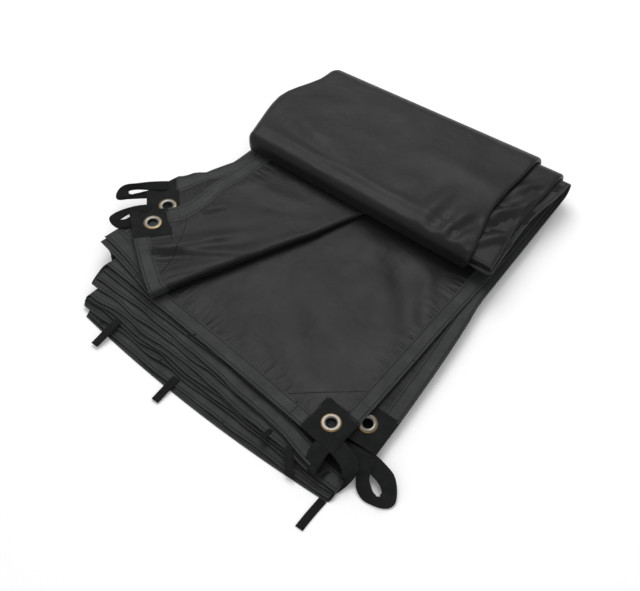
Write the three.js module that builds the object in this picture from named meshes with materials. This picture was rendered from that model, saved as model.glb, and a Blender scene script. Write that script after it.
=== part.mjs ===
// A folded tarp: one hemmed sheet folded in half, then back and forth in seven doubled panels,
// with its far end folded over on top. Millimetres, +Z up, the long way of the pad along Y.
import * as THREE from 'three';

// Driving dimensions
const CLOTH = 1.0;             // thickness of the coated sheet
const GAP = 0.3;               // clearance between neighbouring pieces
const PATCH = 50;              // side of a square webbing patch
const PATCH_THICK = 1.6;
const FACING = 104;            // legs of a triangular corner facing
const EYELET = { outer: 12, flange: 0.7, barrel: 6.9, hole: 6.1, patchHole: 7.3 };
const WEBBING = { width: 21, thick: 1.4 };
const TAPE = { width: 10, thick: 1.4 };
const PITCH_FRONT = 2.9;       // layer spacing where the pile is loose
const PITCH_BACK = 2.25;       // layer spacing under the folded-over end
const PITCH_SLAB = 1.95;       // layer spacing in the folded-over end
const INNER_RADIUS = 1.9;      // of the innermost layer round the far fold
const TOP_LAYER = 13;
const FRONT_Y = -300;
const NECK_Y = 50;             // where the folded-over end begins to cover the pile
const CENTRE = { x: -28.67, y: -16.6 };   // middle of the outline, moved to the origin

// Fold lines: x of each line at the columns front, notch, mid, neck, far, slab and end.
const COLUMNS = ['front', 'notch', 'mid', 'neck', 'far', 'slab', 'end'];
const LINES = {
  flapEdgeA: { front: -256, notch: -219, mid: -200, neck: -193, far: -168, slab: -180, end: -176 },
  flapEdgeB: { front: -264, notch: -251, mid: -226, neck: -206, far: -174, slab: -190, end: -184 },
  flapFold: { front: -141, notch: -119, mid: -44, neck: -24, far: 70, slab: 80, end: 80 },
  underFlap: { front: -255, notch: -246, mid: -221, neck: -206, far: -190, slab: -214, end: -198 },
  bottomLeft: { front: -204, notch: -203, mid: -202, neck: -203, far: -188, slab: -216, end: -202 },
  bottomRight: { front: 190, notch: 190, mid: 176, neck: 160, far: 134, slab: 130, end: 148 },
  lowLeft: { front: -215, notch: -209, mid: -197, neck: -193, far: -179, slab: -204, end: -192 },
  highRight: { front: 152, notch: 156, mid: 166, neck: 170, far: 172, slab: 168, end: 178 },
  highLeft: { front: -224, notch: -214, mid: -197, neck: -191, far: -178, slab: -200, end: -188 },
  shortEdgeA: { front: 168, notch: 171, mid: 176, neck: 178, far: 182, slab: 172, end: 172 },
  shortEdgeB: { front: 205, notch: 204, mid: 195, neck: 190, far: 190, slab: 180, end: 184 },
};

// Panels in their order along the sheet. a and b are the layers of the two halves of the sheet,
// frontA and frontB the y of their hems at the start, middle and end of the panel.
const PANELS = [
  { from: ['flapEdgeA', 'flapEdgeB'], to: ['flapFold', 'flapFold'], a: 13, b: 12, steps: [0.6],
    frontA: [-120, -166, -205], frontB: [-78, -142, -198], droop: 0, edge: 'start' },
  { from: ['flapFold', 'flapFold'], to: ['underFlap', 'underFlap'], a: 10, b: 11, steps: [0.35, 0.7],
    frontA: [-203, -188, -176], frontB: [-200, -180, -168], droop: 0 },
  { from: ['bottomLeft', 'bottomLeft'], to: ['bottomRight', 'bottomRight'], a: 1, b: 0,
    steps: [0.2, 0.45, 0.75], frontA: [-258, -274, -277], frontB: [-261, -280, -280], droop: 1 },
  { from: ['bottomRight', 'bottomRight'], to: ['lowLeft', 'lowLeft'], a: 2, b: 3,
    steps: [0.3, 0.6, 0.85], frontA: [-271, -261, -252], frontB: [-266, -256, -246], droop: 0 },
  { from: ['lowLeft', 'lowLeft'], to: ['highRight', 'highRight'], a: 5, b: 4,
    steps: [0.15, 0.4, 0.7], frontA: [-238, -247, -266], frontB: [-242, -252, -262], droop: 0 },
  { from: ['highRight', 'highRight'], to: ['highLeft', 'highLeft'], a: 6, b: 7,
    steps: [0.3, 0.6, 0.85], frontA: [-258, -236, -226], frontB: [-262, -230, -220], droop: 0 },
  { from: ['highLeft', 'highLeft'], to: ['shortEdgeA', 'shortEdgeB'], a: 9, b: 8,
    steps: [0.2, 0.5], frontA: [-197, -216, -240], frontB: [-204, -216, -206], droop: 0, edge: 'end' },
];

// Folds between panels: side is the way they bulge, reach how far past the fold line, and spread
// lowers the tall wrap on the left, which goes round all the folds inside it.
const FOLDS = [
  { side: 1, reach: 1, steps: 4 },
  { side: -1, reach: 1, steps: 7, wrap: true },
  { side: 1, reach: 1, steps: 4 },
  { side: -1, reach: 1, steps: 4 },
  { side: 1, reach: 1, steps: 4 },
  { side: -1, reach: 1, steps: 4 },
];

const WRAP = { high: 11, low: 6, outer: 2, pull: 0.6 };

// Stations along the pad. col is a place among COLUMNS, y a fixed place on the pile, turn the part
// of the far fold that is done, back a place on the folded-over end from the far fold to its end.
const STATIONS = [
  { col: 0 },
  { col: 1 },
  { col: 1.55 },
  { col: 2 },
  { col: 3 },
  { col: 3.5 },
  { col: 4, turn: 0 },
  { col: 4, turn: 0.2 },
  { col: 4, turn: 0.4 },
  { col: 4, turn: 0.6 },
  { col: 4, turn: 0.8 },
  { col: 4, turn: 1 },
  { col: 5, back: 0.5 },
  { col: 6, back: 1 },
  { col: 6, back: 1, drop: 0.3 },
  { col: 6, back: 1, drop: 0.6 },
  { col: 6, back: 1, drop: 1 },
];
const COLUMN_Y = { mid: 0, neck: NECK_Y };
const FAR = { left: 242, right: 264 };         // y where the far fold begins, at x of -180 and 180
const END_Y = 82;                              // y where the folded-over end stops or turns down
const DROP = { radius: 11, down: 12 };         // the top panel hangs down over that end
const LOOSE = { 9: 2.2, 10: 1.5, 12: 4.5, 13: 1.8 };    // extra air under some layers at the front
const SLOPE = { run: 50, fall: 13 };           // the lower corner sheet slopes to its edge
const RIPPLE = { height: 1.3, length: 95 };    // waves in the hems of the pile

const lerp = (a, b, t) => a + (b - a) * t;
const clamp = (v) => Math.min(1, Math.max(0, v));

function alongColumns(line, col) {
  const low = Math.min(COLUMNS.length - 2, Math.floor(col));
  return lerp(LINES[line][COLUMNS[low]], LINES[line][COLUMNS[low + 1]], col - low);
}

function throughThree(values, t) {
  const bow = values[1] - (values[0] + values[2]) / 2;
  return lerp(values[0], values[2], t) + bow * 4 * t * (1 - t);
}

// How loose the pile is at y: 1 at the front, 0 where the folded-over end presses on it.
const looseness = (y) => clamp((NECK_Y - y) / (NECK_Y - FRONT_Y));

// Height of a layer's middle surface on the pile.
function pileHeight(layer, x, y) {
  const loose = looseness(y);
  let height = CLOTH / 2 + layer * lerp(PITCH_BACK, PITCH_FRONT, loose);
  for (const [from, air] of Object.entries(LOOSE)) {
    height += air * loose * clamp(layer - Number(from) + 1);
  }
  const inside = Math.max(0, layer * (9 - layer)) / 20;
  return height + RIPPLE.height * loose * inside * Math.sin((2 * Math.PI * x) / RIPPLE.length + layer * 0.25);
}

const axisHeight = pileHeight(TOP_LAYER, 0, NECK_Y) + INNER_RADIUS;

function farY(x) {
  return lerp(FAR.left, FAR.right, (x + 180) / 360);
}

// Radius of a layer round the far fold, from the pile's spacing to the folded-over end's.
function foldRadius(layer, turn) {
  const inPile = axisHeight - pileHeight(layer, 0, NECK_Y);
  const inSlab = INNER_RADIUS + (TOP_LAYER - layer) * PITCH_SLAB;
  return lerp(inPile, inSlab, turn);
}

// A place on the sheet: x, the layer it is in, a station, and the front y of that place.
function place(x, layer, station, frontY, droop, fall, notchY) {
  if (station.turn !== undefined) {
    const angle = Math.PI * station.turn;
    const radius = foldRadius(layer, station.turn);
    return [x, farY(x) + radius * Math.sin(angle), axisHeight - radius * Math.cos(angle)];
  }
  if (station.back !== undefined) {
    const radius = foldRadius(layer, 1);
    const bend = DROP.radius + (1 - layer) * PITCH_SLAB;
    const drop = station.drop || 0;
    const angle = (Math.PI / 2) * clamp(drop / 0.6);
    const straight = DROP.down * clamp((drop - 0.6) / 0.4);
    const flat = [lerp(farY(x), END_Y, station.back) - drop * 5, axisHeight + radius];
    const hung = [
      lerp(farY(x), END_Y, station.back) - (drop > 0 ? bend * Math.sin(angle) : 0),
      axisHeight + radius - bend * (1 - Math.cos(angle)) - straight,
    ];
    return [x, lerp(flat[0], hung[0], droop), lerp(flat[1], hung[1], droop)];
  }
  let y;
  if (station.col <= 1) {
    y = lerp(frontY, notchY, station.col);
  } else if (station.col <= 2) {
    y = lerp(notchY, COLUMN_Y.mid, station.col - 1);
  } else if (station.col <= 3) {
    y = lerp(COLUMN_Y.mid, COLUMN_Y.neck, station.col - 2);
  } else {
    y = lerp(COLUMN_Y.neck, farY(x), station.col - 3);
  }
  return [x, y, pileHeight(layer, x, y) - fall * looseness(y)];
}

// One row of the section, from the flap's edge to the short edge, at a station and on a half.
function sectionRow(station, half) {
  const row = [];
  PANELS.forEach((panel, index) => {
    const layer = half === 0 ? panel.a : panel.b;
    const front = half === 0 ? panel.frontA : panel.frontB;
    const start = alongColumns(panel.from[half], station.col);
    const end = alongColumns(panel.to[half], station.col);
    const width = Math.abs(end - start);
    const shares = [0, ...panel.steps, 1];
    const notch = edgeNotch(panel, half, width);
    if (panel.edge === 'start') {
      shares.splice(1, 0, notch);
    }
    if (panel.edge === 'end') {
      shares.splice(shares.length - 1, 0, notch);
    }
    for (const share of shares) {
      const x = lerp(start, end, share);
      const frontY = throughThree(front, share);
      const notchY = edgeNotchY(panel, half, frontY, share);
      const past = half === 1 && panel.edge === 'end' ? clamp((x - (end - SLOPE.run)) / SLOPE.run) : 0;
      row.push(place(x, layer, station, frontY, panel.droop, SLOPE.fall * past, notchY));
    }
    if (index < FOLDS.length) {
      row.push(...foldRow(index, station, half, end));
    }
  });
  return row;
}

// The share of a panel's width at which the corner patch ends.
function edgeNotch(panel, half, width) {
  if (panel.edge === 'start') {
    const front = half === 0 ? panel.frontA : panel.frontB;
    const across = LINES[panel.to[half]].front - LINES[panel.from[half]].front;
    return PATCH / Math.hypot(across, front[2] - front[0]);
  }
  return 1 - PATCH / width;
}

// The y at which the patch's inner side crosses; on the flap the patch lies turned.
function edgeNotchY(panel, half, frontY, share) {
  if (panel.edge !== 'start') {
    return frontY + PATCH;
  }
  const turned = half === 0 ? 35 : 48;
  return frontY + lerp(turned, 44, share);
}

// The bend from one panel to the next.
function foldRow(index, station, half, x) {
  const fold = FOLDS[index];
  const panel = PANELS[index];
  const next = PANELS[index + 1];
  const layers = half === 0 ? [panel.a, next.a] : [panel.b, next.b];
  const fronts = half === 0 ? [panel.frontA[2], next.frontA[0]] : [panel.frontB[2], next.frontB[0]];
  const nextX = alongColumns(next.from[half], station.col);
  const points = [];
  for (let step = 1; step < fold.steps; step += 1) {
    const share = step / fold.steps;
    const angle = Math.PI * share;
    const layer = lerp(layers[0], layers[1], (1 - Math.cos(angle)) / 2);
    const spread = Math.abs(layers[1] - layers[0]) * lerp(PITCH_BACK, PITCH_FRONT, 0.3) / 2;
    const reach = fold.wrap ? lerp(WRAP.high, WRAP.low, share) + (half === 1 ? WRAP.outer : 0) : spread;
    const along = fold.wrap ? share ** WRAP.pull : (1 - Math.cos(angle)) / 2;
    const px = lerp(x, nextX, along) + fold.side * reach * Math.sin(angle);
    const frontY = lerp(fronts[0], fronts[1], along);
    points.push(place(px, layer, station, frontY, lerp(panel.droop, next.droop, share), 0, frontY + PATCH));
  }
  return points;
}

// The centre fold, where one half of the sheet turns into the other at the folded-over end.
function centreFold(rowA, rowB, beforeA, share) {
  const angle = Math.PI * share;
  return rowA.map((a, i) => {
    const b = rowB[i];
    const ahead = new THREE.Vector3(...a).sub(new THREE.Vector3(...beforeA[i])).normalize();
    const reach = new THREE.Vector3(...a).distanceTo(new THREE.Vector3(...b)) / 2;
    const across = (1 - Math.cos(angle)) / 2;
    return a.map((value, axis) => lerp(value, b[axis], across) + ahead.getComponent(axis) * reach * Math.sin(angle));
  });
}

// The whole sheet's middle surface, as rows from the hem of one half to the hem of the other.
function sheetRows() {
  const halfA = STATIONS.map((station) => sectionRow(station, 0));
  const halfB = STATIONS.map((station) => sectionRow(station, 1));
  const last = halfA.length - 1;
  const turns = [0.33, 0.67].map((share) => centreFold(halfA[last], halfB[last], halfA[last - 1], share));
  return [...halfA, ...turns, ...halfB.reverse()];
}

const vec = (p) => new THREE.Vector3(...p);

// Normals of the middle surface, from the differences of neighbouring points.
function rowNormals(rows) {
  return rows.map((row, j) => row.map((point, i) => {
    const alongRow = vec(row[Math.min(i + 1, row.length - 1)]).sub(vec(row[Math.max(i - 1, 0)]));
    const across = vec(rows[Math.min(j + 1, rows.length - 1)][i]).sub(vec(rows[Math.max(j - 1, 0)][i]));
    return alongRow.cross(across).normalize();
  }));
}

// Cells of the grid that the four corner patches take the place of.
function isNotch(i, j, columns, lines) {
  return (i === 0 || i === columns - 2) && (j === 0 || j === lines - 2);
}

// The sheet as one closed solid: both faces of the grid, and a wall along every free edge.
function clothGeometry(rows) {
  const normals = rowNormals(rows);
  const columns = rows[0].length;
  const lines = rows.length;
  const positions = [];
  for (const side of [1, -1]) {
    rows.forEach((row, j) => row.forEach((point, i) => {
      const lifted = vec(point).addScaledVector(normals[j][i], (side * CLOTH) / 2);
      positions.push(lifted.x, lifted.y, lifted.z);
    }));
  }
  const index = [];
  const at = (i, j, side) => (side ? lines * columns : 0) + j * columns + i;
  const quad = (a, b, c, d) => index.push(a, b, c, a, c, d);
  const filled = (i, j) => i >= 0 && j >= 0 && i < columns - 1 && j < lines - 1
    && !isNotch(i, j, columns, lines);
  for (let j = 0; j < lines - 1; j += 1) {
    for (let i = 0; i < columns - 1; i += 1) {
      if (filled(i, j)) {
        quad(at(i, j, 0), at(i + 1, j, 0), at(i + 1, j + 1, 0), at(i, j + 1, 0));
        quad(at(i, j, 1), at(i, j + 1, 1), at(i + 1, j + 1, 1), at(i + 1, j, 1));
        if (!filled(i, j - 1)) {
          quad(at(i, j, 0), at(i, j, 1), at(i + 1, j, 1), at(i + 1, j, 0));
        }
        if (!filled(i, j + 1)) {
          quad(at(i + 1, j + 1, 0), at(i + 1, j + 1, 1), at(i, j + 1, 1), at(i, j + 1, 0));
        }
        if (!filled(i - 1, j)) {
          quad(at(i, j + 1, 0), at(i, j + 1, 1), at(i, j, 1), at(i, j, 0));
        }
        if (!filled(i + 1, j)) {
          quad(at(i + 1, j, 0), at(i + 1, j, 1), at(i + 1, j + 1, 1), at(i + 1, j + 1, 0));
        }
      }
    }
  }
  return dropUnused(positions, index);
}

// Keeps only the points that a triangle uses.
function dropUnused(positions, index) {
  const renamed = new Map();
  const kept = [];
  const newIndex = index.map((old) => {
    if (!renamed.has(old)) {
      renamed.set(old, renamed.size);
      kept.push(...positions.slice(old * 3, old * 3 + 3));
    }
    return renamed.get(old);
  });
  const geometry = new THREE.BufferGeometry();
  geometry.setAttribute('position', new THREE.Float32BufferAttribute(kept, 3));
  geometry.setIndex(newIndex);
  return geometry;
}

// The frame of a corner: its point, the unit directions along its two hems, and the outward face.
function cornerFrame(rows, i, j) {
  const iIn = i === 0 ? 1 : i - 1;
  const jIn = j === 0 ? 1 : j - 1;
  const origin = vec(rows[j][i]);
  const toHem = vec(rows[j][iIn]).sub(origin);
  const toShort = vec(rows[jIn][i]).sub(origin);
  const inner = vec(rows[jIn][iIn]).sub(origin);
  const alongHem = toHem.clone().normalize();
  const face = toHem.clone().cross(toShort).normalize();
  if (face.z < 0) {
    face.negate();
  }
  const alongShort = face.clone().cross(alongHem).normalize();
  if (alongShort.dot(toShort) < 0) {
    alongShort.negate();
  }
  const flat = (v) => new THREE.Vector2(v.dot(alongHem), v.dot(alongShort));
  return { origin, alongHem, alongShort, face, outline: [flat(toHem), flat(inner), flat(toShort)] };
}

// Sets a shape drawn in a corner's plane, from height low for thick, into the pad's frame.
function inCorner(frame, shape, low, thick, name, material) {
  const geometry = new THREE.ExtrudeGeometry(shape, { depth: thick, bevelEnabled: false, curveSegments: 20 });
  geometry.translate(0, 0, low);
  return placedInCorner(frame, geometry, name, material);
}

function placedInCorner(frame, geometry, name, material) {
  const mesh = new THREE.Mesh(geometry, material);
  const handed = frame.alongHem.clone().cross(frame.alongShort).dot(frame.face) > 0;
  if (!handed) {
    geometry.scale(1, 1, -1);
    flip(geometry);
  }
  const third = handed ? frame.face : frame.face.clone().negate();
  const basis = new THREE.Matrix4().makeBasis(frame.alongHem, frame.alongShort, third);
  mesh.quaternion.setFromRotationMatrix(basis);
  mesh.position.copy(frame.origin);
  mesh.name = name;
  return mesh;
}

// Turns a mirrored body's faces outwards again.
function flip(geometry) {
  const order = geometry.index ? geometry.index.array : null;
  const data = geometry.attributes.position.array;
  const count = order ? order.length : data.length / 3;
  for (let t = 0; t < count; t += 3) {
    if (order) {
      [order[t + 1], order[t + 2]] = [order[t + 2], order[t + 1]];
    } else {
      for (let axis = 0; axis < 3; axis += 1) {
        const b = (t + 1) * 3 + axis;
        const c = (t + 2) * 3 + axis;
        [data[b], data[c]] = [data[c], data[b]];
      }
    }
  }
}

const EYELET_IN = PATCH / 2 + 1;   // from the two hems to an eyelet's middle

function patchShape(frame) {
  const [hem, inner, short] = frame.outline;
  const inset = 1.5 * GAP;
  const shape = new THREE.Shape([
    new THREE.Vector2(0, 0),
    new THREE.Vector2(hem.x - inset, hem.y),
    new THREE.Vector2(inner.x - inset, inner.y - inset),
    new THREE.Vector2(short.x, short.y - inset),
  ]);
  const hole = new THREE.Path();
  hole.absarc(EYELET_IN, EYELET_IN, EYELET.patchHole, 0, 2 * Math.PI, true);
  shape.holes.push(hole);
  return shape;
}

function facingShape() {
  const near = PATCH + 1.2;
  return new THREE.Shape([
    new THREE.Vector2(near, 1),
    new THREE.Vector2(FACING, 1),
    new THREE.Vector2(1, FACING),
    new THREE.Vector2(1, near),
    new THREE.Vector2(near, near),
  ]);
}

function eyeletGeometry() {
  const low = PATCH_THICK / 2 + GAP;
  const high = low + EYELET.flange;
  const profile = [
    [EYELET.hole, -high + 0.3], [EYELET.hole + 0.5, -high], [EYELET.outer - 0.5, -high],
    [EYELET.outer, -low], [EYELET.barrel, -low], [EYELET.barrel, low], [EYELET.outer, low],
    [EYELET.outer - 0.5, high], [EYELET.hole + 0.5, high], [EYELET.hole, high - 0.3],
    [EYELET.hole, -high + 0.3],
  ].map(([r, z]) => new THREE.Vector2(r, z));
  const geometry = new THREE.LatheGeometry(profile, 24);
  geometry.rotateX(Math.PI / 2);
  geometry.translate(EYELET_IN, EYELET_IN, 0);
  return geometry;
}

// A flat band through stations with x, y, z and the direction of its width.
function bandGeometry(stations, width, thick) {
  const positions = [];
  const index = [];
  stations.forEach((station, k) => {
    const before = stations[Math.max(k - 1, 0)].at;
    const after = stations[Math.min(k + 1, stations.length - 1)].at;
    const ahead = after.clone().sub(before).normalize();
    const side = station.side.clone();
    if (k > 0 && k < stations.length - 1) {
      side.addScaledVector(ahead, -side.dot(ahead)).normalize();
    }
    const up = side.clone().cross(ahead).normalize();
    for (const [s, u] of [[-1, -1], [1, -1], [1, 1], [-1, 1]]) {
      const p = station.at.clone().addScaledVector(side, (s * width) / 2).addScaledVector(up, (u * thick) / 2);
      positions.push(p.x, p.y, p.z);
    }
    if (k > 0) {
      for (let c = 0; c < 4; c += 1) {
        const a = (k - 1) * 4 + c;
        const b = (k - 1) * 4 + ((c + 1) % 4);
        index.push(a, b, b + 4, a, b + 4, a + 4);
      }
    }
  });
  const end = (stations.length - 1) * 4;
  index.push(0, 2, 1, 0, 3, 2, end, end + 1, end + 2, end, end + 2, end + 3);
  const geometry = new THREE.BufferGeometry();
  geometry.setAttribute('position', new THREE.Float32BufferAttribute(positions, 3));
  geometry.setIndex(index);
  if (signedVolume(geometry) < 0) {
    flip(geometry);
  }
  return geometry;
}

function signedVolume(geometry) {
  const position = geometry.attributes.position;
  const order = geometry.index.array;
  let volume = 0;
  for (let t = 0; t < order.length; t += 3) {
    const [a, b, c] = [0, 1, 2].map((k) => new THREE.Vector3().fromBufferAttribute(position, order[t + k]));
    volume += a.dot(b.cross(c)) / 6;
  }
  return volume;
}

// Webbing loops: radius of the loop, legs out of the two hems, and how it droops and leans.
const LOOPS = {
  front_top: { radius: 18, hemLeg: 9, shortLeg: 3, droop: 8, lean: 0.9 },
  front_low: { radius: 18, hemLeg: 16, shortLeg: 5, droop: -3, lean: 0.8 },
  flap_top: { radius: 15, hemLeg: 3, shortLeg: 5, droop: -1, lean: 0.75 },
  flap_low: { radius: 15, hemLeg: 2, shortLeg: 15, droop: 7, lean: 0.75 },
};

const LEG_CLEAR = 0.8;   // from a leg's end to the patch

// A loop in its corner's plane: out over one hem, round three quarters of a circle, back over the other.
function loopGeometry(frame, loop) {
  const half = WEBBING.width / 2;
  const cx = half - loop.radius;
  const short = frame.outline[2].clone().normalize();
  const stations = [];
  const point = (a, b, sink, sideA, sideB, tilt) => {
    const at = frame.origin.clone()
      .addScaledVector(frame.alongHem, a)
      .addScaledVector(frame.alongShort, b)
      .addScaledVector(frame.face, -sink);
    const side = frame.alongHem.clone().multiplyScalar(sideA * Math.cos(tilt))
      .addScaledVector(frame.alongShort, sideB * Math.cos(tilt))
      .addScaledVector(frame.face, -Math.sin(tilt));
    stations.push({ at, side });
  };
  point(half + 1, -LEG_CLEAR, 0, 1, 0, 0);
  const arcSteps = 12;
  for (let k = 0; k <= arcSteps; k += 1) {
    const share = k / arcSteps;
    const angle = -1.5 * Math.PI * share;
    const bulge = Math.sin(Math.PI * share);
    const a = cx + loop.radius * Math.cos(angle) - loop.shortLeg * share;
    const b = cx + loop.radius * Math.sin(angle) - loop.hemLeg * (1 - share);
    point(a, b, loop.droop * bulge, Math.cos(angle), Math.sin(angle), loop.lean * Math.sin(Math.PI * share));
  }
  const along = half + 1;
  point(short.x * along - short.y * LEG_CLEAR, short.y * along + short.x * LEG_CLEAR, 0, short.x, short.y, 0);
  return bandGeometry(stations, WEBBING.width, WEBBING.thick);
}

// Tape tabs. Each lies on a layer of the pile from its first place to its second, then leaves that
// layer's hem through its ends, which are given as x, y and z. The right one starts at the hem itself.
const TAPES = {
  left: { layer: 3, on: [[-160, -246.2], [-160.3, -250]], ends: [[-161.5, -268, 8.2], [-163, -287, 4.2]] },
  middle: { layer: 1, on: [[-49, -261.8], [-49.4, -275]], ends: [[-50, -300, 2.2]] },
  right: { layer: 0, on: [], ends: [[186, -280.7, 1.1], [185, -304, 1.0], [185, -323, 1.0]] },
  small: { layer: 5, sink: 1.1, on: [[88, -251.8], [88, -259]], ends: [[88, -266, 14.6]] },
  hanging: { layer: 5, on: [[122, -258.4], [125, -264.5]], ends: [[133, -273, 11.4], [141, -282, 6.4]] },
};

function tapeGeometry(tape) {
  const lift = CLOTH / 2 + GAP + TAPE.thick / 2 - (tape.sink || 0);
  const resting = tape.on.map(([x, y]) => [x, y, pileHeight(tape.layer, x, y) + lift]);
  const across = new THREE.Vector3(1, 0, 0);
  const stations = [...resting, ...tape.ends].map((p) => ({ at: vec(p), side: across }));
  return bandGeometry(stations, TAPE.width, TAPE.thick);
}

const finish = (color, roughness, metalness) => new THREE.MeshStandardMaterial({ color, roughness, metalness });
const coated = finish(0x2b2c2e, 0.45, 0);
const ribbed = finish(0x1f2222, 0.85, 0);
const brass = finish(0x8a744c, 0.35, 1);

const pad = new THREE.Group();
const rows = sheetRows();
const cloth = new THREE.Mesh(clothGeometry(rows), coated);
cloth.name = 'cloth';
if (signedVolume(cloth.geometry) < 0) {
  flip(cloth.geometry);
}
pad.add(cloth);

const CORNERS = {
  front_top: [rows[0].length - 1, 0],
  front_low: [rows[0].length - 1, rows.length - 1],
  flap_top: [0, 0],
  flap_low: [0, rows.length - 1],
};
for (const [name, [i, j]] of Object.entries(CORNERS)) {
  const frame = cornerFrame(rows, i, j);
  pad.add(inCorner(frame, patchShape(frame), -PATCH_THICK / 2, PATCH_THICK, `corner_patch_${name}`, ribbed.clone()));
  pad.add(placedInCorner(frame, eyeletGeometry(), `eyelet_${name}`, brass.clone()));
  if (name.endsWith('top')) {
    const above = CLOTH / 2 + GAP;
    pad.add(inCorner(frame, facingShape(), above, CLOTH, `corner_facing_${name}`, coated.clone()));
  }
  const loop = new THREE.Mesh(loopGeometry(frame, LOOPS[name]), ribbed.clone());
  loop.name = `corner_loop_${name}`;
  pad.add(loop);
}
for (const [name, tape] of Object.entries(TAPES)) {
  const mesh = new THREE.Mesh(tapeGeometry(tape), ribbed.clone());
  mesh.name = `tie_tape_${name}`;
  pad.add(mesh);
}
pad.position.set(-CENTRE.x, -CENTRE.y, 0);

const tarp = new THREE.Group();
tarp.name = 'folded_tarp';
tarp.add(pad);

export default tarp;
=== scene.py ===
"""A folded tarp: dressed cloth, hems, webbing corners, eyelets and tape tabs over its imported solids.

Plan places are in millimetres, on the same plan as the solids, and become metres in the pad's frame.
"""
from __future__ import annotations

import logging
import math
from bisect import bisect_right
from dataclasses import dataclass
from enum import Enum

import bmesh
import bpy
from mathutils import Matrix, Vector, noise

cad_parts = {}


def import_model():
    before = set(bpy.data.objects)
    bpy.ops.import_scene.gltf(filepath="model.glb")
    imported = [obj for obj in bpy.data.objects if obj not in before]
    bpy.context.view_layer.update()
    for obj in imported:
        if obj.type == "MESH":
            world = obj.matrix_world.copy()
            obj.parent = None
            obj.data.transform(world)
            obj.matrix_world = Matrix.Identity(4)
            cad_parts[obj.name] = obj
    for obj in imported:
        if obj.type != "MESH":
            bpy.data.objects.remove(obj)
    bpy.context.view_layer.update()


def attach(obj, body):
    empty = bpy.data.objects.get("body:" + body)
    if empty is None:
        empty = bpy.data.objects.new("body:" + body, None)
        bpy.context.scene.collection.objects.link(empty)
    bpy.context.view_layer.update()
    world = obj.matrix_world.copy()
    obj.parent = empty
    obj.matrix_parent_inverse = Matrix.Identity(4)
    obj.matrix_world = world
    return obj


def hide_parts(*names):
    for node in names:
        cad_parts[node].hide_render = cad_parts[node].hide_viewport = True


LOG = logging.getLogger("folded_tarp")
# Plan place that lies at the pad's origin, in millimetres.
CENTRE = Vector((-28.67, -16.6, 0.0))
MM = 0.001
# Mesh points from one place of a strap to the next, and cells across a strap and across a tape.
RIBBON_STEPS = 5
TAPE_STEPS = 6
RIBBON_CELLS = 8
BAND_CELLS = 6
# Shares of a crease's length: how far it runs past its ends, and how long each end takes to fade.
CREASE_PAST = 0.35
CREASE_FADE = 0.6
# How much narrower the steep side of a fully skewed crease is.
SKEW_SHARE = 0.6


class Half(Enum):
    """The two halves of the doubled sheet."""

    INNER = 0
    OUTER = 1


class Edge(Enum):
    """A hemmed edge of the sheet."""

    FRONT_INNER = "front_inner"
    FRONT_OUTER = "front_outer"
    FLAP = "flap"
    SHORT = "short"


def lerp(a: float, b: float, t: float) -> float:
    """Returns the value a share t of the way from a to b."""
    return a + (b - a) * t


def clamp(value: float) -> float:
    """Returns value held between 0 and 1."""
    return min(1.0, max(0.0, value))


def smooth(value: float) -> float:
    """Returns an eased share between 0 and 1."""
    t = clamp(value)
    return t * t * (3 - 2 * t)


def curve_weights(t: float) -> tuple[float, float, float, float]:
    """Returns a smooth curve's shares of its start, start slope, stop and stop slope, at a share t of it."""
    back = (1 - t) ** 2
    return (1 + 2 * t) * back, t * back, t * t * (3 - 2 * t), t * t * (t - 1)


def nearest(places: list[float], value: float) -> int:
    """Returns the index of the place that is nearest to value."""
    return min(range(len(places)), key=lambda index: abs(places[index] - value))


def to_pad(point: Vector) -> Vector:
    """Returns a plan point, in millimetres, as metres in the pad's frame."""
    return (point - CENTRE) * MM


@dataclass(frozen=True)
class Crease:
    """A soft ridge, or a trough if its height is negative, along a straight line on the plan.

    Attributes:
        start: plan place of one end, in millimetres.
        stop: plan place of the other end.
        height: how far it stands up.
        width: how far to each side it fades out.
        skew: how much steeper its second side is, from 0 to 1.
    """

    start: tuple[float, float]
    stop: tuple[float, float]
    height: float
    width: float
    skew: float = 0.0

    def lift(self, x: float, y: float) -> float:
        """Works out how far the crease lifts a place.

        Args:
            x: plan place.
            y: plan place.

        Returns:
            The lift in millimetres.
        """
        ax, ay = self.start
        dx, dy = self.stop[0] - ax, self.stop[1] - ay
        length = math.hypot(dx, dy)
        along = ((x - ax) * dx + (y - ay) * dy) / (length * length)
        if not -CREASE_PAST < along < 1 + CREASE_PAST:
            return 0.0
        side = ((x - ax) * dy - (y - ay) * dx) / length
        width = self.width * (1 - self.skew * SKEW_SHARE if side > 0 else 1.0)
        ends = smooth((along + CREASE_PAST) / CREASE_FADE) * smooth((1 + CREASE_PAST - along) / CREASE_FADE)
        return self.height * math.exp(-((side / width) ** 2)) * ends


@dataclass(frozen=True)
class Panel:
    """A doubled panel of the tarp between two folds.

    Attributes:
        start: fold lines that it starts from, for the two halves.
        stop: fold lines that it runs to.
        layers: place of each half in the pile, counted from the ground.
        fronts: y of each half's hem at the panel's start, middle and end.
        width: its width along the sheet, in millimetres.
        droop: 1 if it hangs over the folded-over end.
        ends_sheet: -1 if the sheet's edge is at its start, 1 if at its end.
    """

    start: tuple[str, str]
    stop: tuple[str, str]
    layers: tuple[int, int]
    fronts: tuple[tuple[float, float, float], tuple[float, float, float]]
    width: float
    droop: float = 0.0
    ends_sheet: int = 0


@dataclass(frozen=True)
class Bend:
    """The fold between one panel and the next.

    Attributes:
        side: 1 if it bulges to the right, -1 to the left.
        width: its width along the sheet, in millimetres.
        wraps: true for the tall one that goes round all the folds inside it.
    """

    side: int
    width: float
    wraps: bool = False


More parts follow.
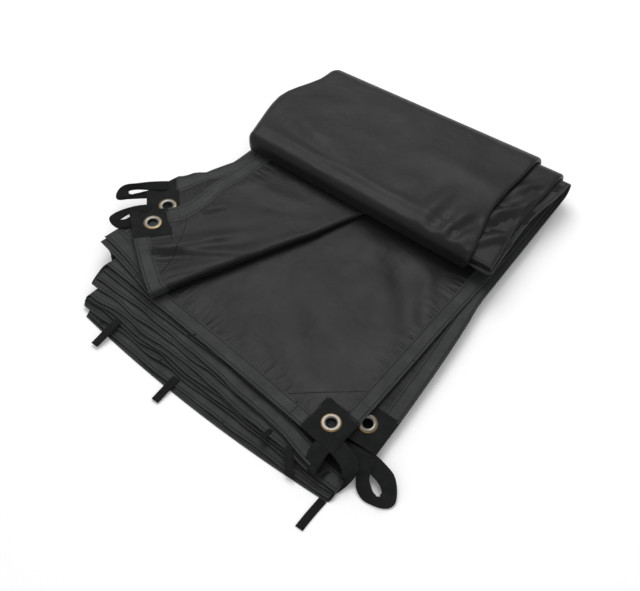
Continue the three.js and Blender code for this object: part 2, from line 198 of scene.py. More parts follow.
# x of each fold line on the plan, at the runs that follow, in millimetres.
LINES: dict[str, tuple[float, ...]] = {
    "flap_edge_inner": (-256, -219, -200, -193, -168, -168, -180, -176),
    "flap_edge_outer": (-264, -251, -226, -206, -174, -174, -190, -184),
    "flap_fold": (-141, -119, -44, -24, 70, 70, 80, 80),
    "under_flap": (-255, -246, -221, -206, -190, -190, -214, -198),
    "bottom_left": (-204, -203, -202, -203, -188, -188, -216, -202),
    "bottom_right": (190, 190, 176, 160, 134, 134, 130, 148),
    "low_left": (-215, -209, -197, -193, -179, -179, -204, -192),
    "high_right": (152, 156, 166, 170, 172, 172, 168, 178),
    "high_left": (-224, -214, -197, -191, -178, -178, -200, -188),
    "short_edge_inner": (168, 171, 176, 178, 182, 182, 172, 172),
    "short_edge_outer": (205, 204, 195, 190, 190, 190, 180, 184),
}
# Distances along the sheet from a front hem: the hem, the patches' end, the middle of the pad, the neck,
# both ends of the far fold, and the middle and the end of the folded-over part.
RUNS = (0.0, 52.0, 250.0, 300.0, 500.0, 600.0, 690.0, 780.0)
RUN_PATCH, RUN_MIDDLE, RUN_NECK, RUN_FAR, RUN_BACK, _, RUN_END = RUNS[1:]


def slope(values: tuple[float, ...], k: int) -> float:
    """Returns how a fold line's x grows with the run, after its place k."""
    return (values[k + 1] - values[k]) / (RUNS[k + 1] - RUNS[k])


PANELS = (
    Panel(("flap_edge_inner", "flap_edge_outer"), ("flap_fold", "flap_fold"), (13, 12),
          ((-120, -166, -205), (-78, -142, -198)), 170, ends_sheet=-1),
    Panel(("flap_fold", "flap_fold"), ("under_flap", "under_flap"), (10, 11),
          ((-203, -188, -176), (-200, -180, -168)), 180),
    Panel(("bottom_left", "bottom_left"), ("bottom_right", "bottom_right"), (1, 0),
          ((-258, -274, -277), (-261, -280, -280)), 380, droop=1.0),
    Panel(("bottom_right", "bottom_right"), ("low_left", "low_left"), (2, 3),
          ((-271, -261, -252), (-266, -256, -246)), 390),
    Panel(("low_left", "low_left"), ("high_right", "high_right"), (5, 4),
          ((-238, -247, -266), (-242, -252, -262)), 370),
    Panel(("high_right", "high_right"), ("high_left", "high_left"), (6, 7),
          ((-258, -236, -226), (-262, -230, -220)), 370),
    Panel(("high_left", "high_left"), ("short_edge_inner", "short_edge_outer"), (9, 8),
          ((-197, -216, -240), (-204, -216, -206)), 385, ends_sheet=1),
)
BENDS = (
    Bend(1, 10), Bend(-1, 44, wraps=True), Bend(1, 6), Bend(-1, 6), Bend(1, 6), Bend(-1, 6),
)

# Creases, in millimetres on the plan. Several were picked in the photo and then changed.
FLAP_CREASES = (
    Crease((-177, -60), (-157, -33), 2.0, 5, 0.4),
    Crease((-167, -135), (-125, -75), 2.2, 5.5, 0.5),
    Crease((-188, -153), (-95, -91), 2.4, 6, 0.4),
    Crease((-150, -183), (-91, -96), 2.0, 7, 0.3),
    Crease((-182, -56), (-161, -29), 2.2, 7),
    Crease((-172, -132), (-129, -70), 2.0, 9, 0.5),
    Crease((-192, -149), (-99, -87), 3.0, 10, 0.4),
    Crease((-176, -166), (-96, -62), -2.4, 10),
    Crease((-229, -108), (-175, -90), 1.0, 9),
    Crease((-110, -100), (-20, 20), 1.6, 12, 0.3),
    Crease((-163, 20), (-81, 25), 1.8, 13),
    Crease((-159, -88), (-105, -30), -1.4, 10),
    Crease((-140, -10), (-60, 30), -1.6, 12),
    Crease((-200, -35), (-150, 35), 1.2, 9),
)
TOP_CREASES = (
    Crease((13, 54), (94, -28), 3.2, 26),
    Crease((-10, -47), (111, -127), 2.6, 30),
    Crease((46, -130), (67, -97), 1.4, 14),
    Crease((-11, -107), (85, -190), -2.2, 26),
    Crease((83, 22), (144, -47), -3.0, 17),
    Crease((111, 48), (151, -24), 2.6, 12),
    Crease((60, 30), (100, -60), -2.0, 20),
    Crease((181, -150), (176, -57), -1.2, 14),
    Crease((130, -60), (150, -150), 1.6, 20),
    Crease((-60, -150), (40, -190), 1.6, 24),
    Crease((-100, -195), (-20, -170), -1.4, 18),
)
SLAB_CREASES = (
    Crease((-170, 92), (116, 96), 1.5, 6, 0.5),
    Crease((106, 84), (118, 136), 1.8, 6, 0.5),
    Crease((127, 84), (144, 120), 2.2, 6, 0.5),
    Crease((-189, 96), (100, 100), 1.6, 8, 0.6),
    Crease((104, 75), (109, 128), 2.4, 10, 0.4),
    Crease((88, 78), (96, 140), -1.8, 10),
    Crease((118, 84), (132, 130), -1.8, 8),
    Crease((129, 78), (152, 108), 2.6, 9, 0.4),
    Crease((70, 84), (74, 150), 2.6, 10),
    Crease((40, 92), (54, 150), -1.8, 12),
    Crease((-167, 137), (-33, 100), 2.4, 18, 0.5),
    Crease((30, 97), (127, 137), 1.6, 16, 0.5),
    Crease((-200, 125), (-76, 96), -1.8, 14),
    Crease((-152, 212), (0, 189), -2.4, 22),
    Crease((0, 189), (125, 191), 2.2, 20, 0.6),
    Crease((85, 201), (140, 250), -1.6, 14),
    Crease((-60, 150), (70, 160), -1.6, 18),
    Crease((-170, 180), (-90, 230), 1.8, 16),
)
SIDE_CREASES = (
    Crease((140, 92), (172, 132), 4.2, 6, 0.4),
    Crease((136, 120), (170, 166), -3.4, 6),
    Crease((138, 150), (172, 204), 4.0, 7, 0.5),
    Crease((140, 186), (168, 232), -3.0, 7),
    Crease((142, 214), (170, 250), 3.4, 7),
    Crease((136, 110), (168, 128), 3.4, 7),
    Crease((134, 134), (166, 146), -2.4, 6),
    Crease((134, 158), (160, 176), 2.6, 8),
    Crease((140, 200), (166, 214), 2.0, 9),
    Crease((140, 180), (170, 190), -1.8, 8),
)
LOW_CREASES = (
    Crease((-205, -262), (-160, -230), 2.2, 12),
    Crease((-140, -270), (-120, -225), -1.8, 12),
    Crease((-90, -275), (-60, -225), 2.0, 14),
    Crease((-20, -280), (10, -235), -1.6, 13),
    Crease((60, -285), (80, -235), 1.8, 12),
    Crease((120, -285), (150, -240), -1.6, 12),
)


@dataclass(frozen=True)
class Fold:
    """How the doubled sheet lies folded. Its sizes are in millimetres.

    Attributes:
        panels: the panels in their order along the sheet.
        bends: the folds between them.
        cloth: room that one layer of the solid takes.
        pitch_front: layer spacing where the pile is loose.
        pitch_back: layer spacing under the folded-over end.
        pitch_slab: layer spacing in the folded-over end.
        inner_radius: radius of the innermost layer round the far fold.
        top_layer: place of the highest layer in the pile.
        front_y: y of the loose end of the pile.
        neck_y: y where the folded-over end begins to cover the pile.
        end_y: y where the folded-over end stops or turns down.
        far_left: y where the far fold begins on the left.
        far_right: y where it begins on the right.
        drop_radius: bend of the top panel over that end.
        drop_down: how far it then hangs.
        drop_run: run of the sheet over that end.
        centre_run: run of the centre fold.
        patch: side of the corner patches.
        floor_clear: least height of a layer's middle.
        air: extra room under a loose layer, from the layer that it begins with.
        wave: height, length and turn from layer to layer of the waves in the loose pile.
        rumple: height of the noise in it, and its size across, along and from layer to layer.
        hem_noise: depth of the wander of a hidden hem, its size along the hem and from layer to layer.
        flap_notch: y from the hem to the patches' end on the flap, at its two corners and at its fold.
        slope: how far the short edge slopes down at the front, and over what width.
        wrap_reach: bulge of the tall fold at its start and end, and how much more its outer half has.
        bend_loose: looseness that sets the bulge of the other folds.
        drop_bend: share of the run over the folded-over end that bends before it hangs straight.
        drop_slack: how far the sheet still runs on where it doesn't hang.
    """

    panels: tuple[Panel, ...] = PANELS
    bends: tuple[Bend, ...] = BENDS
    cloth: float = 1.0
    pitch_front: float = 2.9
    pitch_back: float = 2.25
    pitch_slab: float = 1.95
    inner_radius: float = 1.9
    top_layer: int = 13
    front_y: float = -300.0
    neck_y: float = 50.0
    end_y: float = 82.0
    far_left: float = 242.0
    far_right: float = 264.0
    drop_radius: float = 11.0
    drop_down: float = 12.0
    drop_run: float = 36.0
    centre_run: float = 4.0
    patch: float = 52.0
    floor_clear: float = 0.75
    air: tuple[tuple[int, float], ...] = ((9, 2.2), (10, 1.5), (12, 4.5), (13, 1.8))
    wave: tuple[float, float, float] = (1.3, 95.0, 0.25)
    rumple: tuple[float, float, float, float] = (1.5, 26.0, 90.0, 0.16)
    hem_noise: tuple[float, float, float] = (4.5, 42.0, 1.3)
    flap_notch: tuple[tuple[float, float], float] = ((36.0, 49.0), 46.0)
    slope: tuple[float, float] = (13.0, 50.0)
    wrap_reach: tuple[float, float, float] = (11.0, 6.0, 2.0)
    bend_loose: float = 0.3
    drop_bend: float = 0.6
    drop_slack: float = 5.0

    @property
    def half_run(self) -> float:
        """Length of the sheet from a front hem to the centre fold."""
        return RUNS[-1] + self.drop_run

    @property
    def full_run(self) -> float:
        """Length of the sheet from one front hem to the other."""
        return 2 * self.half_run + self.centre_run

    @property
    def full_width(self) -> float:
        """Width of the sheet from the flap's edge to the short edge."""
        return sum(p.width for p in self.panels) + sum(b.width for b in self.bends)

    def starts(self) -> list[float]:
        """Returns where each panel and bend starts along the sheet's width."""
        places = [0.0]
        for index, panel in enumerate(self.panels):
            places.append(places[-1] + panel.width)
            if index < len(self.bends):
                places.append(places[-1] + self.bends[index].width)
        return places

    @staticmethod
    def segment_at(starts: list[float], width: float) -> int:
        """Returns the panel or bend at a distance across the sheet, even for a panel."""
        return min(max(bisect_right(starts, width) - 1, 0), len(starts) - 2)

    def centre_places(self, steps: range) -> list[float]:
        """Returns places along the sheet on its centre fold, given in quarters of it."""
        return [self.half_run + self.centre_run * k / 4 for k in steps]

    @staticmethod
    def line(name: str, run: float) -> float:
        """Works out where a fold line lies, on a smooth curve through its places.

        Args:
            name: the fold line.
            run: distance along the sheet from the front hem.

        Returns:
            Its x on the plan.
        """
        values = LINES[name]
        if run >= RUNS[-1]:
            return values[-1]
        k = max(0, bisect_right(RUNS, run) - 1)
        step = RUNS[k + 1] - RUNS[k]
        t = (run - RUNS[k]) / step
        here = slope(values, k)
        before = slope(values, k - 1) if k > 0 else None
        after = slope(values, k + 1) if k + 2 < len(RUNS) else None
        first = here if before is None else (before + here) / 2
        last = here if after is None else (here + after) / 2
        if before is not None and before * here <= 0:
            first = 0.0
        if after is not None and after * here <= 0:
            last = 0.0
        w0, w1, w2, w3 = curve_weights(t)
        return w0 * values[k] + w1 * step * first + w2 * values[k + 1] + w3 * step * last

    def looseness(self, y: float) -> float:
        """Returns how loose the pile is at y: 1 at the front, 0 under the folded-over end."""
        return clamp((self.neck_y - y) / (self.neck_y - self.front_y))

    def pile_height(self, layer: float, x: float, y: float) -> float:
        """Works out how high a layer lies on the pile.

        Args:
            layer: its place in the pile.
            x: plan place.
            y: plan place.

        Returns:
            The height of its middle.
        """
        loose = self.looseness(y)
        height = self.cloth / 2 + layer * lerp(self.pitch_back, self.pitch_front, loose)
        for start, air in self.air:
            height += air * loose * clamp(layer - start + 1)
        inside = max(0.0, layer * (9 - layer)) / 20
        tall, length, turn = self.wave
        rough, across, along, between = self.rumple
        waves = tall * math.sin(2 * math.pi * x / length + layer * turn)
        waves += rough * noise.noise(Vector((x / across, y / along, layer * between)))
        return height + loose * inside * waves

    def axis_height(self) -> float:
        """Returns the height of the line that the far fold goes round."""
        return self.pile_height(self.top_layer, 0, self.neck_y) + self.inner_radius

    def far_y(self, x: float) -> float:
        """Returns the y at which the far fold begins."""
        return lerp(self.far_left, self.far_right, (x + 180) / 360)

    def fold_radius(self, layer: float, turn: float) -> float:
        """Works out a layer's radius round the far fold.

        Args:
            layer: its place in the pile.
            turn: the part of the fold that is done.

        Returns:
            The radius.
        """
        in_pile = self.axis_height() - self.pile_height(layer, 0, self.neck_y)
        in_slab = self.inner_radius + (self.top_layer - layer) * self.pitch_slab
        return lerp(in_pile, in_slab, turn)

    def relief(self, x: float, y: float, layer: float, run: float) -> float:
        """Works out the soft creases that stand on a layer.

        Args:
            x: plan place.
            y: plan place.
            layer: its place in the pile.
            run: distance along the sheet from its front hem.

        Returns:
            The lift in millimetres.
        """
        if run > RUN_FAR:
            fade = smooth((run - 590) / 50) * (1 - smooth((run - 775) / 14))
            if fade <= 0:
                return 0.0
            share = max(0.0, 1 - layer / 5)
            lift = share * sum(c.lift(x, y) for c in SLAB_CREASES) if layer <= 4.2 else 0.0
            if x > 118 and layer >= 2:
                lift += smooth((x - 124) / 12) * sum(c.lift(x, y) for c in SIDE_CREASES)
            return fade * lift
        fade = smooth((self.neck_y + 30 - y) / 40)
        if fade <= 0:
            return 0.0
        if layer > 9.5:
            return fade * sum(c.lift(x, y) for c in FLAP_CREASES) * lerp(0.35, 1.0, clamp((layer - 10) / 3))
        share = clamp((layer - 4) / 5)
        lift = share * sum(c.lift(x, y) for c in TOP_CREASES)
        lift += min(1 - share, layer / 3) * sum(c.lift(x, y) for c in LOW_CREASES)
        return fade * lift

    def place(self, x: float, layer: float, run: float, front_y: float, droop: float, fall: float,
              notch_y: float) -> Vector:
        """Sets a place of the sheet's middle surface.

        Args:
            x: plan place across the pad.
            layer: place in the pile.
            run: distance along the sheet from the front hem.
            front_y: y of the hem there.
            droop: how much it hangs over the folded-over end.
            fall: how far it slopes down at the front.
            notch_y: y where the corner patches end.

        Returns:
            The plan place, in millimetres.
        """
        axis = self.axis_height()
        if run <= RUN_PATCH:
            y = lerp(front_y + self.hem_wave(x, layer), notch_y, run / RUN_PATCH)
        elif run <= RUN_MIDDLE:
            y = lerp(notch_y, 0, (run - RUN_PATCH) / (RUN_MIDDLE - RUN_PATCH))
        elif run <= RUN_NECK:
            y = lerp(0, self.neck_y, (run - RUN_MIDDLE) / (RUN_NECK - RUN_MIDDLE))
        elif run <= RUN_FAR:
            y = lerp(self.neck_y, self.far_y(x), (run - RUN_NECK) / (RUN_FAR - RUN_NECK))
        elif run <= RUN_BACK:
            turn = (run - RUN_FAR) / (RUN_BACK - RUN_FAR)
            radius = self.fold_radius(layer, turn)
            angle = math.pi * turn
            return Vector((x, self.far_y(x) + radius * math.sin(angle), axis - radius * math.cos(angle)))
        else:
            back = clamp((run - RUN_BACK) / (RUN_END - RUN_BACK))
            drop = clamp((run - RUN_END) / self.drop_run)
            radius = self.fold_radius(layer, 1)
            y = lerp(self.far_y(x), self.end_y, back)
            bend = self.drop_radius + (1 - layer) * self.pitch_slab
            angle = (math.pi / 2) * clamp(drop / self.drop_bend)
            straight = self.drop_down * clamp((drop - self.drop_bend) / (1 - self.drop_bend))
            hung_y = y - bend * math.sin(angle)
            hung_z = axis + radius - bend * (1 - math.cos(angle)) - straight
            lift = self.relief(x, y, layer, run)
            on_y = lerp(y - drop * self.drop_slack, hung_y, droop)
            return Vector((x, on_y, lerp(axis + radius, hung_z, droop) + lift))
        height = self.pile_height(layer, x, y) - fall * self.looseness(y) + self.relief(x, y, layer, run)
        return Vector((x, y, max(height, self.floor_clear)))

    def hem_wave(self, x: float, layer: float) -> float:
        """Returns how far a hem inside the pile wanders forwards or back at x."""
        inside = smooth(layer / 2) * (1 - smooth((layer - 7.2) / 1.2))
        depth, size, between = self.hem_noise
        return depth * inside * noise.noise(Vector((x / size, layer * between, 0.4)))

    def at_half(self, segment: int, share: float, run: float, half: Half) -> Vector:
        """Sets a place on one half of the sheet.

        Args:
            segment: even for a panel, odd for the bend after it.
            share: place across it, from 0 to 1.
            run: distance along the sheet from the front hem.
            half: which half.

        Returns:
            The plan place.
        """
        h = half.value
        panel = self.panels[segment // 2]
        if segment % 2 == 0:
            start, stop = self.line(panel.start[h], run), self.line(panel.stop[h], run)
            x = lerp(start, stop, share)
            front = panel.fronts[h]
            bow = front[1] - (front[0] + front[2]) / 2
            front_y = lerp(front[0], front[2], share) + bow * 4 * share * (1 - share)
            notch_y = front_y + self.patch
            if panel.ends_sheet < 0:
                notch_y = front_y + lerp(self.flap_notch[0][h], self.flap_notch[1], share)
            down, over = self.slope
            sloped = half is Half.OUTER and panel.ends_sheet > 0
            fall = down * clamp((x - (stop - over)) / over) if sloped else 0.0
            return self.place(x, panel.layers[h], run, front_y, panel.droop, fall, notch_y)
        bend = self.bends[segment // 2]
        following = self.panels[segment // 2 + 1]
        angle = math.pi * share
        turned = (1 - math.cos(angle)) / 2
        layers = (panel.layers[h], following.layers[h])
        layer = lerp(layers[0], layers[1], turned)
        pitch = lerp(self.pitch_back, self.pitch_front, self.bend_loose)
        reach = abs(layers[1] - layers[0]) * pitch / 2
        along = turned
        if bend.wraps:
            reach = lerp(self.wrap_reach[0], self.wrap_reach[1], share) + self.wrap_reach[2] * h
            along = share ** 0.6
        x = lerp(self.line(panel.stop[h], run), self.line(following.start[h], run), along)
        x += bend.side * reach * math.sin(angle)
        front_y = lerp(panel.fronts[h][2], following.fronts[h][0], share ** 3 if bend.wraps else along)
        droop = lerp(panel.droop, following.droop, share)
        return self.place(x, layer, run, front_y, droop, 0.0, front_y + self.patch)

    def at(self, width: float, run: float) -> Vector:
        """Sets a place anywhere on the sheet.

        Args:
            width: distance across the sheet from the flap's edge.
            run: distance along it from the inner half's front hem.

        Returns:
            The plan place.
        """
        starts = self.starts()
        segment = self.segment_at(starts, width)
        share = (width - starts[segment]) / (starts[segment + 1] - starts[segment])
        if run <= self.half_run:
            return self.at_half(segment, share, run, Half.INNER)
        if run >= self.half_run + self.centre_run:
            return self.at_half(segment, share, self.full_run - run, Half.OUTER)
        inner = self.at_half(segment, share, self.half_run, Half.INNER)
        outer = self.at_half(segment, share, self.half_run, Half.OUTER)
        before = self.at_half(segment, share, self.half_run - 8, Half.INNER)
        ahead = (inner - before).normalized()
        angle = math.pi * (run - self.half_run) / self.centre_run
        reach = (outer - inner).length / 2
        return inner.lerp(outer, (1 - math.cos(angle)) / 2) + ahead * reach * math.sin(angle)

    def normal(self, width: float, run: float) -> Vector:
        """Returns the sheet's unit normal at a place, by the rule of its width and run."""
        step = 1.0
        across = self.at(min(width + step, self.full_width), run) - self.at(max(width - step, 0), run)
        along = self.at(width, min(run + step, self.full_run)) - self.at(width, max(run - step, 0))
        return across.cross(along).normalized()

    def panel_width(self, edge: Edge, run: float) -> float:
        """Works out the real width of the panel at one of the sheet's short edges.

        Args:
            edge: the flap's or the short edge.
            run: distance along the whole sheet.

        Returns:
            The width in millimetres.
        """
        half = Half.INNER if run <= self.full_run / 2 else Half.OUTER
        own_run = run if half is Half.INNER else self.full_run - run
        panel = self.panels[0] if edge is Edge.FLAP else self.panels[-1]
        start = self.line(panel.start[half.value], own_run)
        return abs(self.line(panel.stop[half.value], own_run) - start)

    def inward(self, edge: Edge, along: float, depth: float) -> tuple[float, float]:
        """Turns a place given from a hemmed edge into one on the sheet.

        Args:
            edge: the edge.
            along: distance along it.
            depth: distance in from it.

        Returns:
            The width and run of that place.
        """
        if edge is Edge.FRONT_INNER:
            return along, depth
        if edge is Edge.FRONT_OUTER:
            return along, self.full_run - depth
        real = self.panel_width(edge, along)
        if edge is Edge.FLAP:
            return depth * self.panels[0].width / real, along
        return self.full_width - depth * self.panels[-1].width / real, along


class NodeKit:
    """Small helper that lays out the nodes of one material."""

    def __init__(self, name: str) -> None:
        """Makes an empty node material.

        Args:
            name: the material's name.
        """
        self.material = bpy.data.materials.new(name)
        self.material.use_nodes = True
        self.tree = self.material.node_tree
        self.shader = self.tree.nodes["Principled BSDF"]

    def add(self, kind: str, **settings: object) -> bpy.types.Node:
        """Adds a node.

        Args:
            kind: the node's type.
            settings: its properties, and its inputs' values by position under the name values.

        Returns:
            The node.
        """
        node = self.tree.nodes.new(kind)
        values = settings.pop("values", {})
        for key, value in settings.items():
            setattr(node, key, value)
        for key, value in values.items():
            node.inputs[key].default_value = value
        return node

    def link(self, out: bpy.types.NodeSocket, into: bpy.types.NodeSocket) -> None:
        """Links two sockets."""
        self.tree.links.new(out, into)

    def math(self, operation: str, first: object, second: object = 0.0) -> bpy.types.NodeSocket:
        """Adds a math node.

        Args:
            operation: what it does.
            first: a socket or a number.
            second: a socket or a number.

        Returns:
            The result's socket.
        """
        node = self.add("ShaderNodeMath", operation=operation)
        for socket, value in zip(node.inputs, (first, second)):
            if isinstance(value, bpy.types.NodeSocket):
                self.link(value, socket)
            else:
                socket.default_value = value
        return node.outputs[0]

    def times(self, first: object, second: object) -> bpy.types.NodeSocket:
        """Returns the product of two sockets or numbers."""
        return self.math("MULTIPLY", first, second)

    def stripes(self, value: bpy.types.NodeSocket, pitch: float) -> bpy.types.NodeSocket:
        """Returns a sine over value that repeats every pitch metres."""
        return self.math("SINE", self.times(value, 2 * math.pi / pitch))

    def soften(self, specular: float, sheen: float) -> None:
        """Sets how much the surface reflects and how much sheen it has."""
        self.shader.inputs["Specular IOR Level"].default_value = specular
        self.shader.inputs["Sheen Weight"].default_value = sheen

    def uv(self) -> tuple[bpy.types.NodeSocket, bpy.types.NodeSocket]:
        """Returns the two parts of the piece's own map, in metres."""
        split = self.add("ShaderNodeSeparateXYZ")
        self.link(self.add("ShaderNodeUVMap", uv_map="cloth").outputs[0], split.inputs[0])
        return split.outputs[0], split.outputs[1]

    def near(self, value: bpy.types.NodeSocket, place: float, width: float) -> bpy.types.NodeSocket:
        """Returns 1 where value is at place, falling to 0 at width from it."""
        away = self.math("ABSOLUTE", self.math("SUBTRACT", value, place))
        ramp = self.add("ShaderNodeMapRange", values={1: 0.0, 2: width, 3: 1.0, 4: 0.0})
        self.link(away, ramp.inputs[0])
        return ramp.outputs[0]

    def noise(self, scale: float, detail: float = 2.0) -> bpy.types.NodeSocket:
        """Returns soft noise over the piece's Object coordinates."""
        node = self.add("ShaderNodeTexNoise", values={"Scale": scale, "Detail": detail})
        self.link(self.add("ShaderNodeTexCoord").outputs["Object"], node.inputs["Vector"])
        return node.outputs[0]

    def gathers(self, across: float, along: float) -> bpy.types.NodeSocket:
        """Returns noise over the piece's own map, with so many waves to the metre each way."""
        first, second = self.uv()
        place = self.add("ShaderNodeCombineXYZ")
        self.link(self.times(first, across), place.inputs[0])
        self.link(self.times(second, along), place.inputs[1])
        node = self.add("ShaderNodeTexNoise", values={"Scale": 1.0, "Detail": 2.0})
        self.link(place.outputs[0], node.inputs["Vector"])
        return node.outputs[0]

    def colour(self, share: bpy.types.NodeSocket, dark: tuple[float, float, float],
               light: tuple[float, float, float], low: float = 0.3, high: float = 0.7) -> None:
        """Paints the base colour between two shades.

        Args:
            share: 0 for the dark shade, 1 for the light one.
            dark: the dark shade.
            light: the light shade.
            low: share at which the dark shade ends.
            high: share at which the light shade begins.
        """
        ramp = self.add("ShaderNodeValToRGB")
        ramp.color_ramp.elements[0].position = low
        ramp.color_ramp.elements[0].color = (*dark, 1)
        ramp.color_ramp.elements[1].position = high
        ramp.color_ramp.elements[1].color = (*light, 1)
        self.link(share, ramp.inputs[0])
        self.link(ramp.outputs[0], self.shader.inputs["Base Color"])

    def roughness(self, share: bpy.types.NodeSocket, low: float, high: float) -> None:
        """Varies the roughness between low and high with share."""
        ramp = self.add("ShaderNodeMapRange", values={1: 0.3, 2: 0.7, 3: low, 4: high})
        self.link(share, ramp.inputs[0])
        self.link(ramp.outputs[0], self.shader.inputs["Roughness"])

    def bump(self, height: bpy.types.NodeSocket, distance: float, strength: float = 1.0) -> None:
        """Raises the surface by height, over any bump that is there already.

        Args:
            height: the height, from 0 to 1.
            distance: how far 1 stands up, in metres.
            strength: share of it that shows.
        """
        node = self.add("ShaderNodeBump", values={"Distance": distance, "Strength": strength})
        self.link(height, node.inputs["Height"])
        existing = self.shader.inputs["Normal"].links
        if existing:
            self.link(existing[0].from_socket, node.inputs["Normal"])
        self.link(node.outputs[0], self.shader.inputs["Normal"])


@dataclass(frozen=True)
class CoatedCloth:
    """Satin coated nylon, near black, with a fine weave and soft blotches of painted reflection in its
    colour.

    Attributes:
        dark: its darker, bluish tint, mixed with light in soft blotches as a painted reflection of the
            surroundings.
        light: its lighter, greenish tint, the other half of that painted reflection.
        thread: spacing of the weave, in metres.
        hem: the hem's width.
        flat: size of the sheet's own map.
        beside: how far from a hem its gathers reach.
        gathers: gathers to the metre, along and across a hem.
    """

    dark: tuple[float, float, float] = (0.0072, 0.0072, 0.008)
    light: tuple[float, float, float] = (0.0118, 0.0118, 0.0115)
    thread: float = 0.0011
    hem: float = 0.021
    flat: tuple[float, float] = (2.329, 1.636)
    beside: float = 0.034
    gathers: tuple[float, float] = (115, 22)

    def build(self) -> bpy.types.Material:
        """Returns the cloth's material."""
        kit = NodeKit("coated_nylon")
        across, along = kit.uv()
        weave = kit.times(kit.stripes(across, self.thread), kit.stripes(along, self.thread))
        # Painted reflection: soft blotches between a bluish and a greenish near-black stand in for the
        # reflections of the surroundings.
        kit.colour(kit.noise(9, 3), self.dark, self.light)
        kit.roughness(kit.noise(23, 4), 0.34, 0.44)
        kit.bump(weave, 0.00006, 0.5)
        kit.bump(kit.noise(60, 5), 0.0011, 0.35)
        kit.bump(kit.noise(17, 3), 0.0065, 0.5)
        many, few = self.gathers
        for value, size, waves in ((across, self.flat[0], (few, many)), (along, self.flat[1], (many, few))):
            for side in (self.hem, size - self.hem):
                kit.bump(kit.times(kit.near(value, side, self.beside), kit.gathers(*waves)), 0.0042, 0.7)
        kit.soften(0.16, 0.02)
        return kit.material


@dataclass(frozen=True)
class StitchedHem:
    """The same cloth turned over and sewn down with two rows of stitches, with a painted highlight along its
    folded edge.

    Attributes:
        dark: its darker shade.
        light: its lighter shade.
        rows: depths of the two rows, in metres.
        boxes: places along the front hems where a stitched box beside a patch begins.
        pitch: length of one stitch.
        stitch: half the width of a row.
    """

    dark: tuple[float, float, float] = (0.0062, 0.0068, 0.0072)
    light: tuple[float, float, float] = (0.019, 0.0205, 0.0215)
    rows: tuple[float, float] = (0.0032, 0.0175)
    boxes: tuple[float, ...] = (0.0745, 2.2545)
    pitch: float = 0.0034
    stitch: float = 0.0011

    def build(self) -> bpy.types.Material:
        """Returns the hem's material."""
        kit = NodeKit("stitched_hem")
        along, across = kit.uv()
        dash = kit.stripes(along, self.pitch)
        row = kit.near(across, self.rows[0], self.stitch)
        row = kit.math("MAXIMUM", row, kit.near(across, self.rows[1], self.stitch))
        for box in self.boxes:
            row = kit.math("MAXIMUM", row, kit.near(along, box, self.stitch))
        stitch = kit.times(row, kit.math("ADD", kit.times(dash, 0.35), 0.65))
        pucker = kit.noise(140, 3)
        # Painted highlight: a thin lighter line along the hem's folded edge, where the light catches the
        # fold.
        fold_edge_highlight = kit.near(across, 0.0, 0.0016)
        shade = kit.math("ADD", kit.times(kit.noise(30, 3), 0.6), kit.times(fold_edge_highlight, 0.5))
        shade = kit.math("SUBTRACT", shade, kit.times(row, 0.35))
        kit.colour(shade, self.dark, self.light, 0.1, 0.8)
        kit.roughness(kit.noise(60, 3), 0.60, 0.74)
        kit.bump(kit.times(stitch, -1.0), 0.0011, 1.0)
        kit.bump(pucker, 0.0016, 0.6)
        kit.soften(0.4, 0.05)
        return kit.material


@dataclass(frozen=True)
class RibbedWebbing:
    """Matte black woven webbing with lengthwise ribs.

    Attributes:
        name: the material's name.
        dark: its darker shade.
        light: its lighter shade.
        rib: spacing of the ribs, in metres.
    """

    name: str = "ribbed_webbing"
    dark: tuple[float, float, float] = (0.0058, 0.0064, 0.0064)
    light: tuple[float, float, float] = (0.0135, 0.0145, 0.0142)
    rib: float = 0.0017

    def build(self) -> bpy.types.Material:
        """Returns the webbing's material."""
        kit = NodeKit(self.name)
        along, across = kit.uv()
        ribs = kit.stripes(across, self.rib)
        picks = kit.stripes(along, self.rib * 0.7)
        grid = kit.math("ADD", kit.times(ribs, 0.7), kit.times(picks, 0.3))
        worn = kit.noise(70, 4)
        share = kit.math("ADD", kit.times(ribs, 0.12), worn)
        kit.colour(share, self.dark, self.light)
        kit.roughness(worn, 0.78, 0.9)
        kit.bump(grid, 0.0006, 1.0)
        kit.soften(0.14, 0.02)
        kit.shader.inputs["Sheen Roughness"].default_value = 0.5
        return kit.material


@dataclass(frozen=True)
class AgedBrass:
    """Antique brass on an eyelet's rim, going to bare grey metal inside."""

    grey: tuple[float, float, float] = (0.15, 0.142, 0.132)
    brass: tuple[float, float, float] = (0.2, 0.138, 0.065)

    def build(self) -> bpy.types.Material:
        """Returns the eyelet's material."""
        kit = NodeKit("aged_brass")
        _, outward = kit.uv()
        worn = kit.times(kit.math("SUBTRACT", kit.noise(420, 4), 0.5), 0.0022)
        place = kit.math("ADD", outward, worn)
        share = kit.add("ShaderNodeMapRange", values={1: 0.0092, 2: 0.0118, 3: 0.0, 4: 1.0})
        kit.link(place, share.inputs[0])
        kit.colour(share.outputs[0], self.grey, self.brass, 0.0, 1.0)
        kit.roughness(kit.noise(500, 3), 0.24, 0.40)
        kit.bump(kit.noise(900, 3), 0.0001, 0.4)
        kit.shader.inputs["Metallic"].default_value = 1.0
        return kit.material


@dataclass(frozen=True)
class PaleFloor:
    """Plain white floor."""

    shade: float = 0.93

    def build(self) -> bpy.types.Material:
        """Returns the floor's material."""
        kit = NodeKit("pale_floor")
        kit.colour(kit.noise(2), (self.shade,) * 3, (self.shade * 1.01,) * 3)
        kit.shader.inputs["Roughness"].default_value = 0.9
        kit.shader.inputs["Specular IOR Level"].default_value = 0.1
        return kit.material


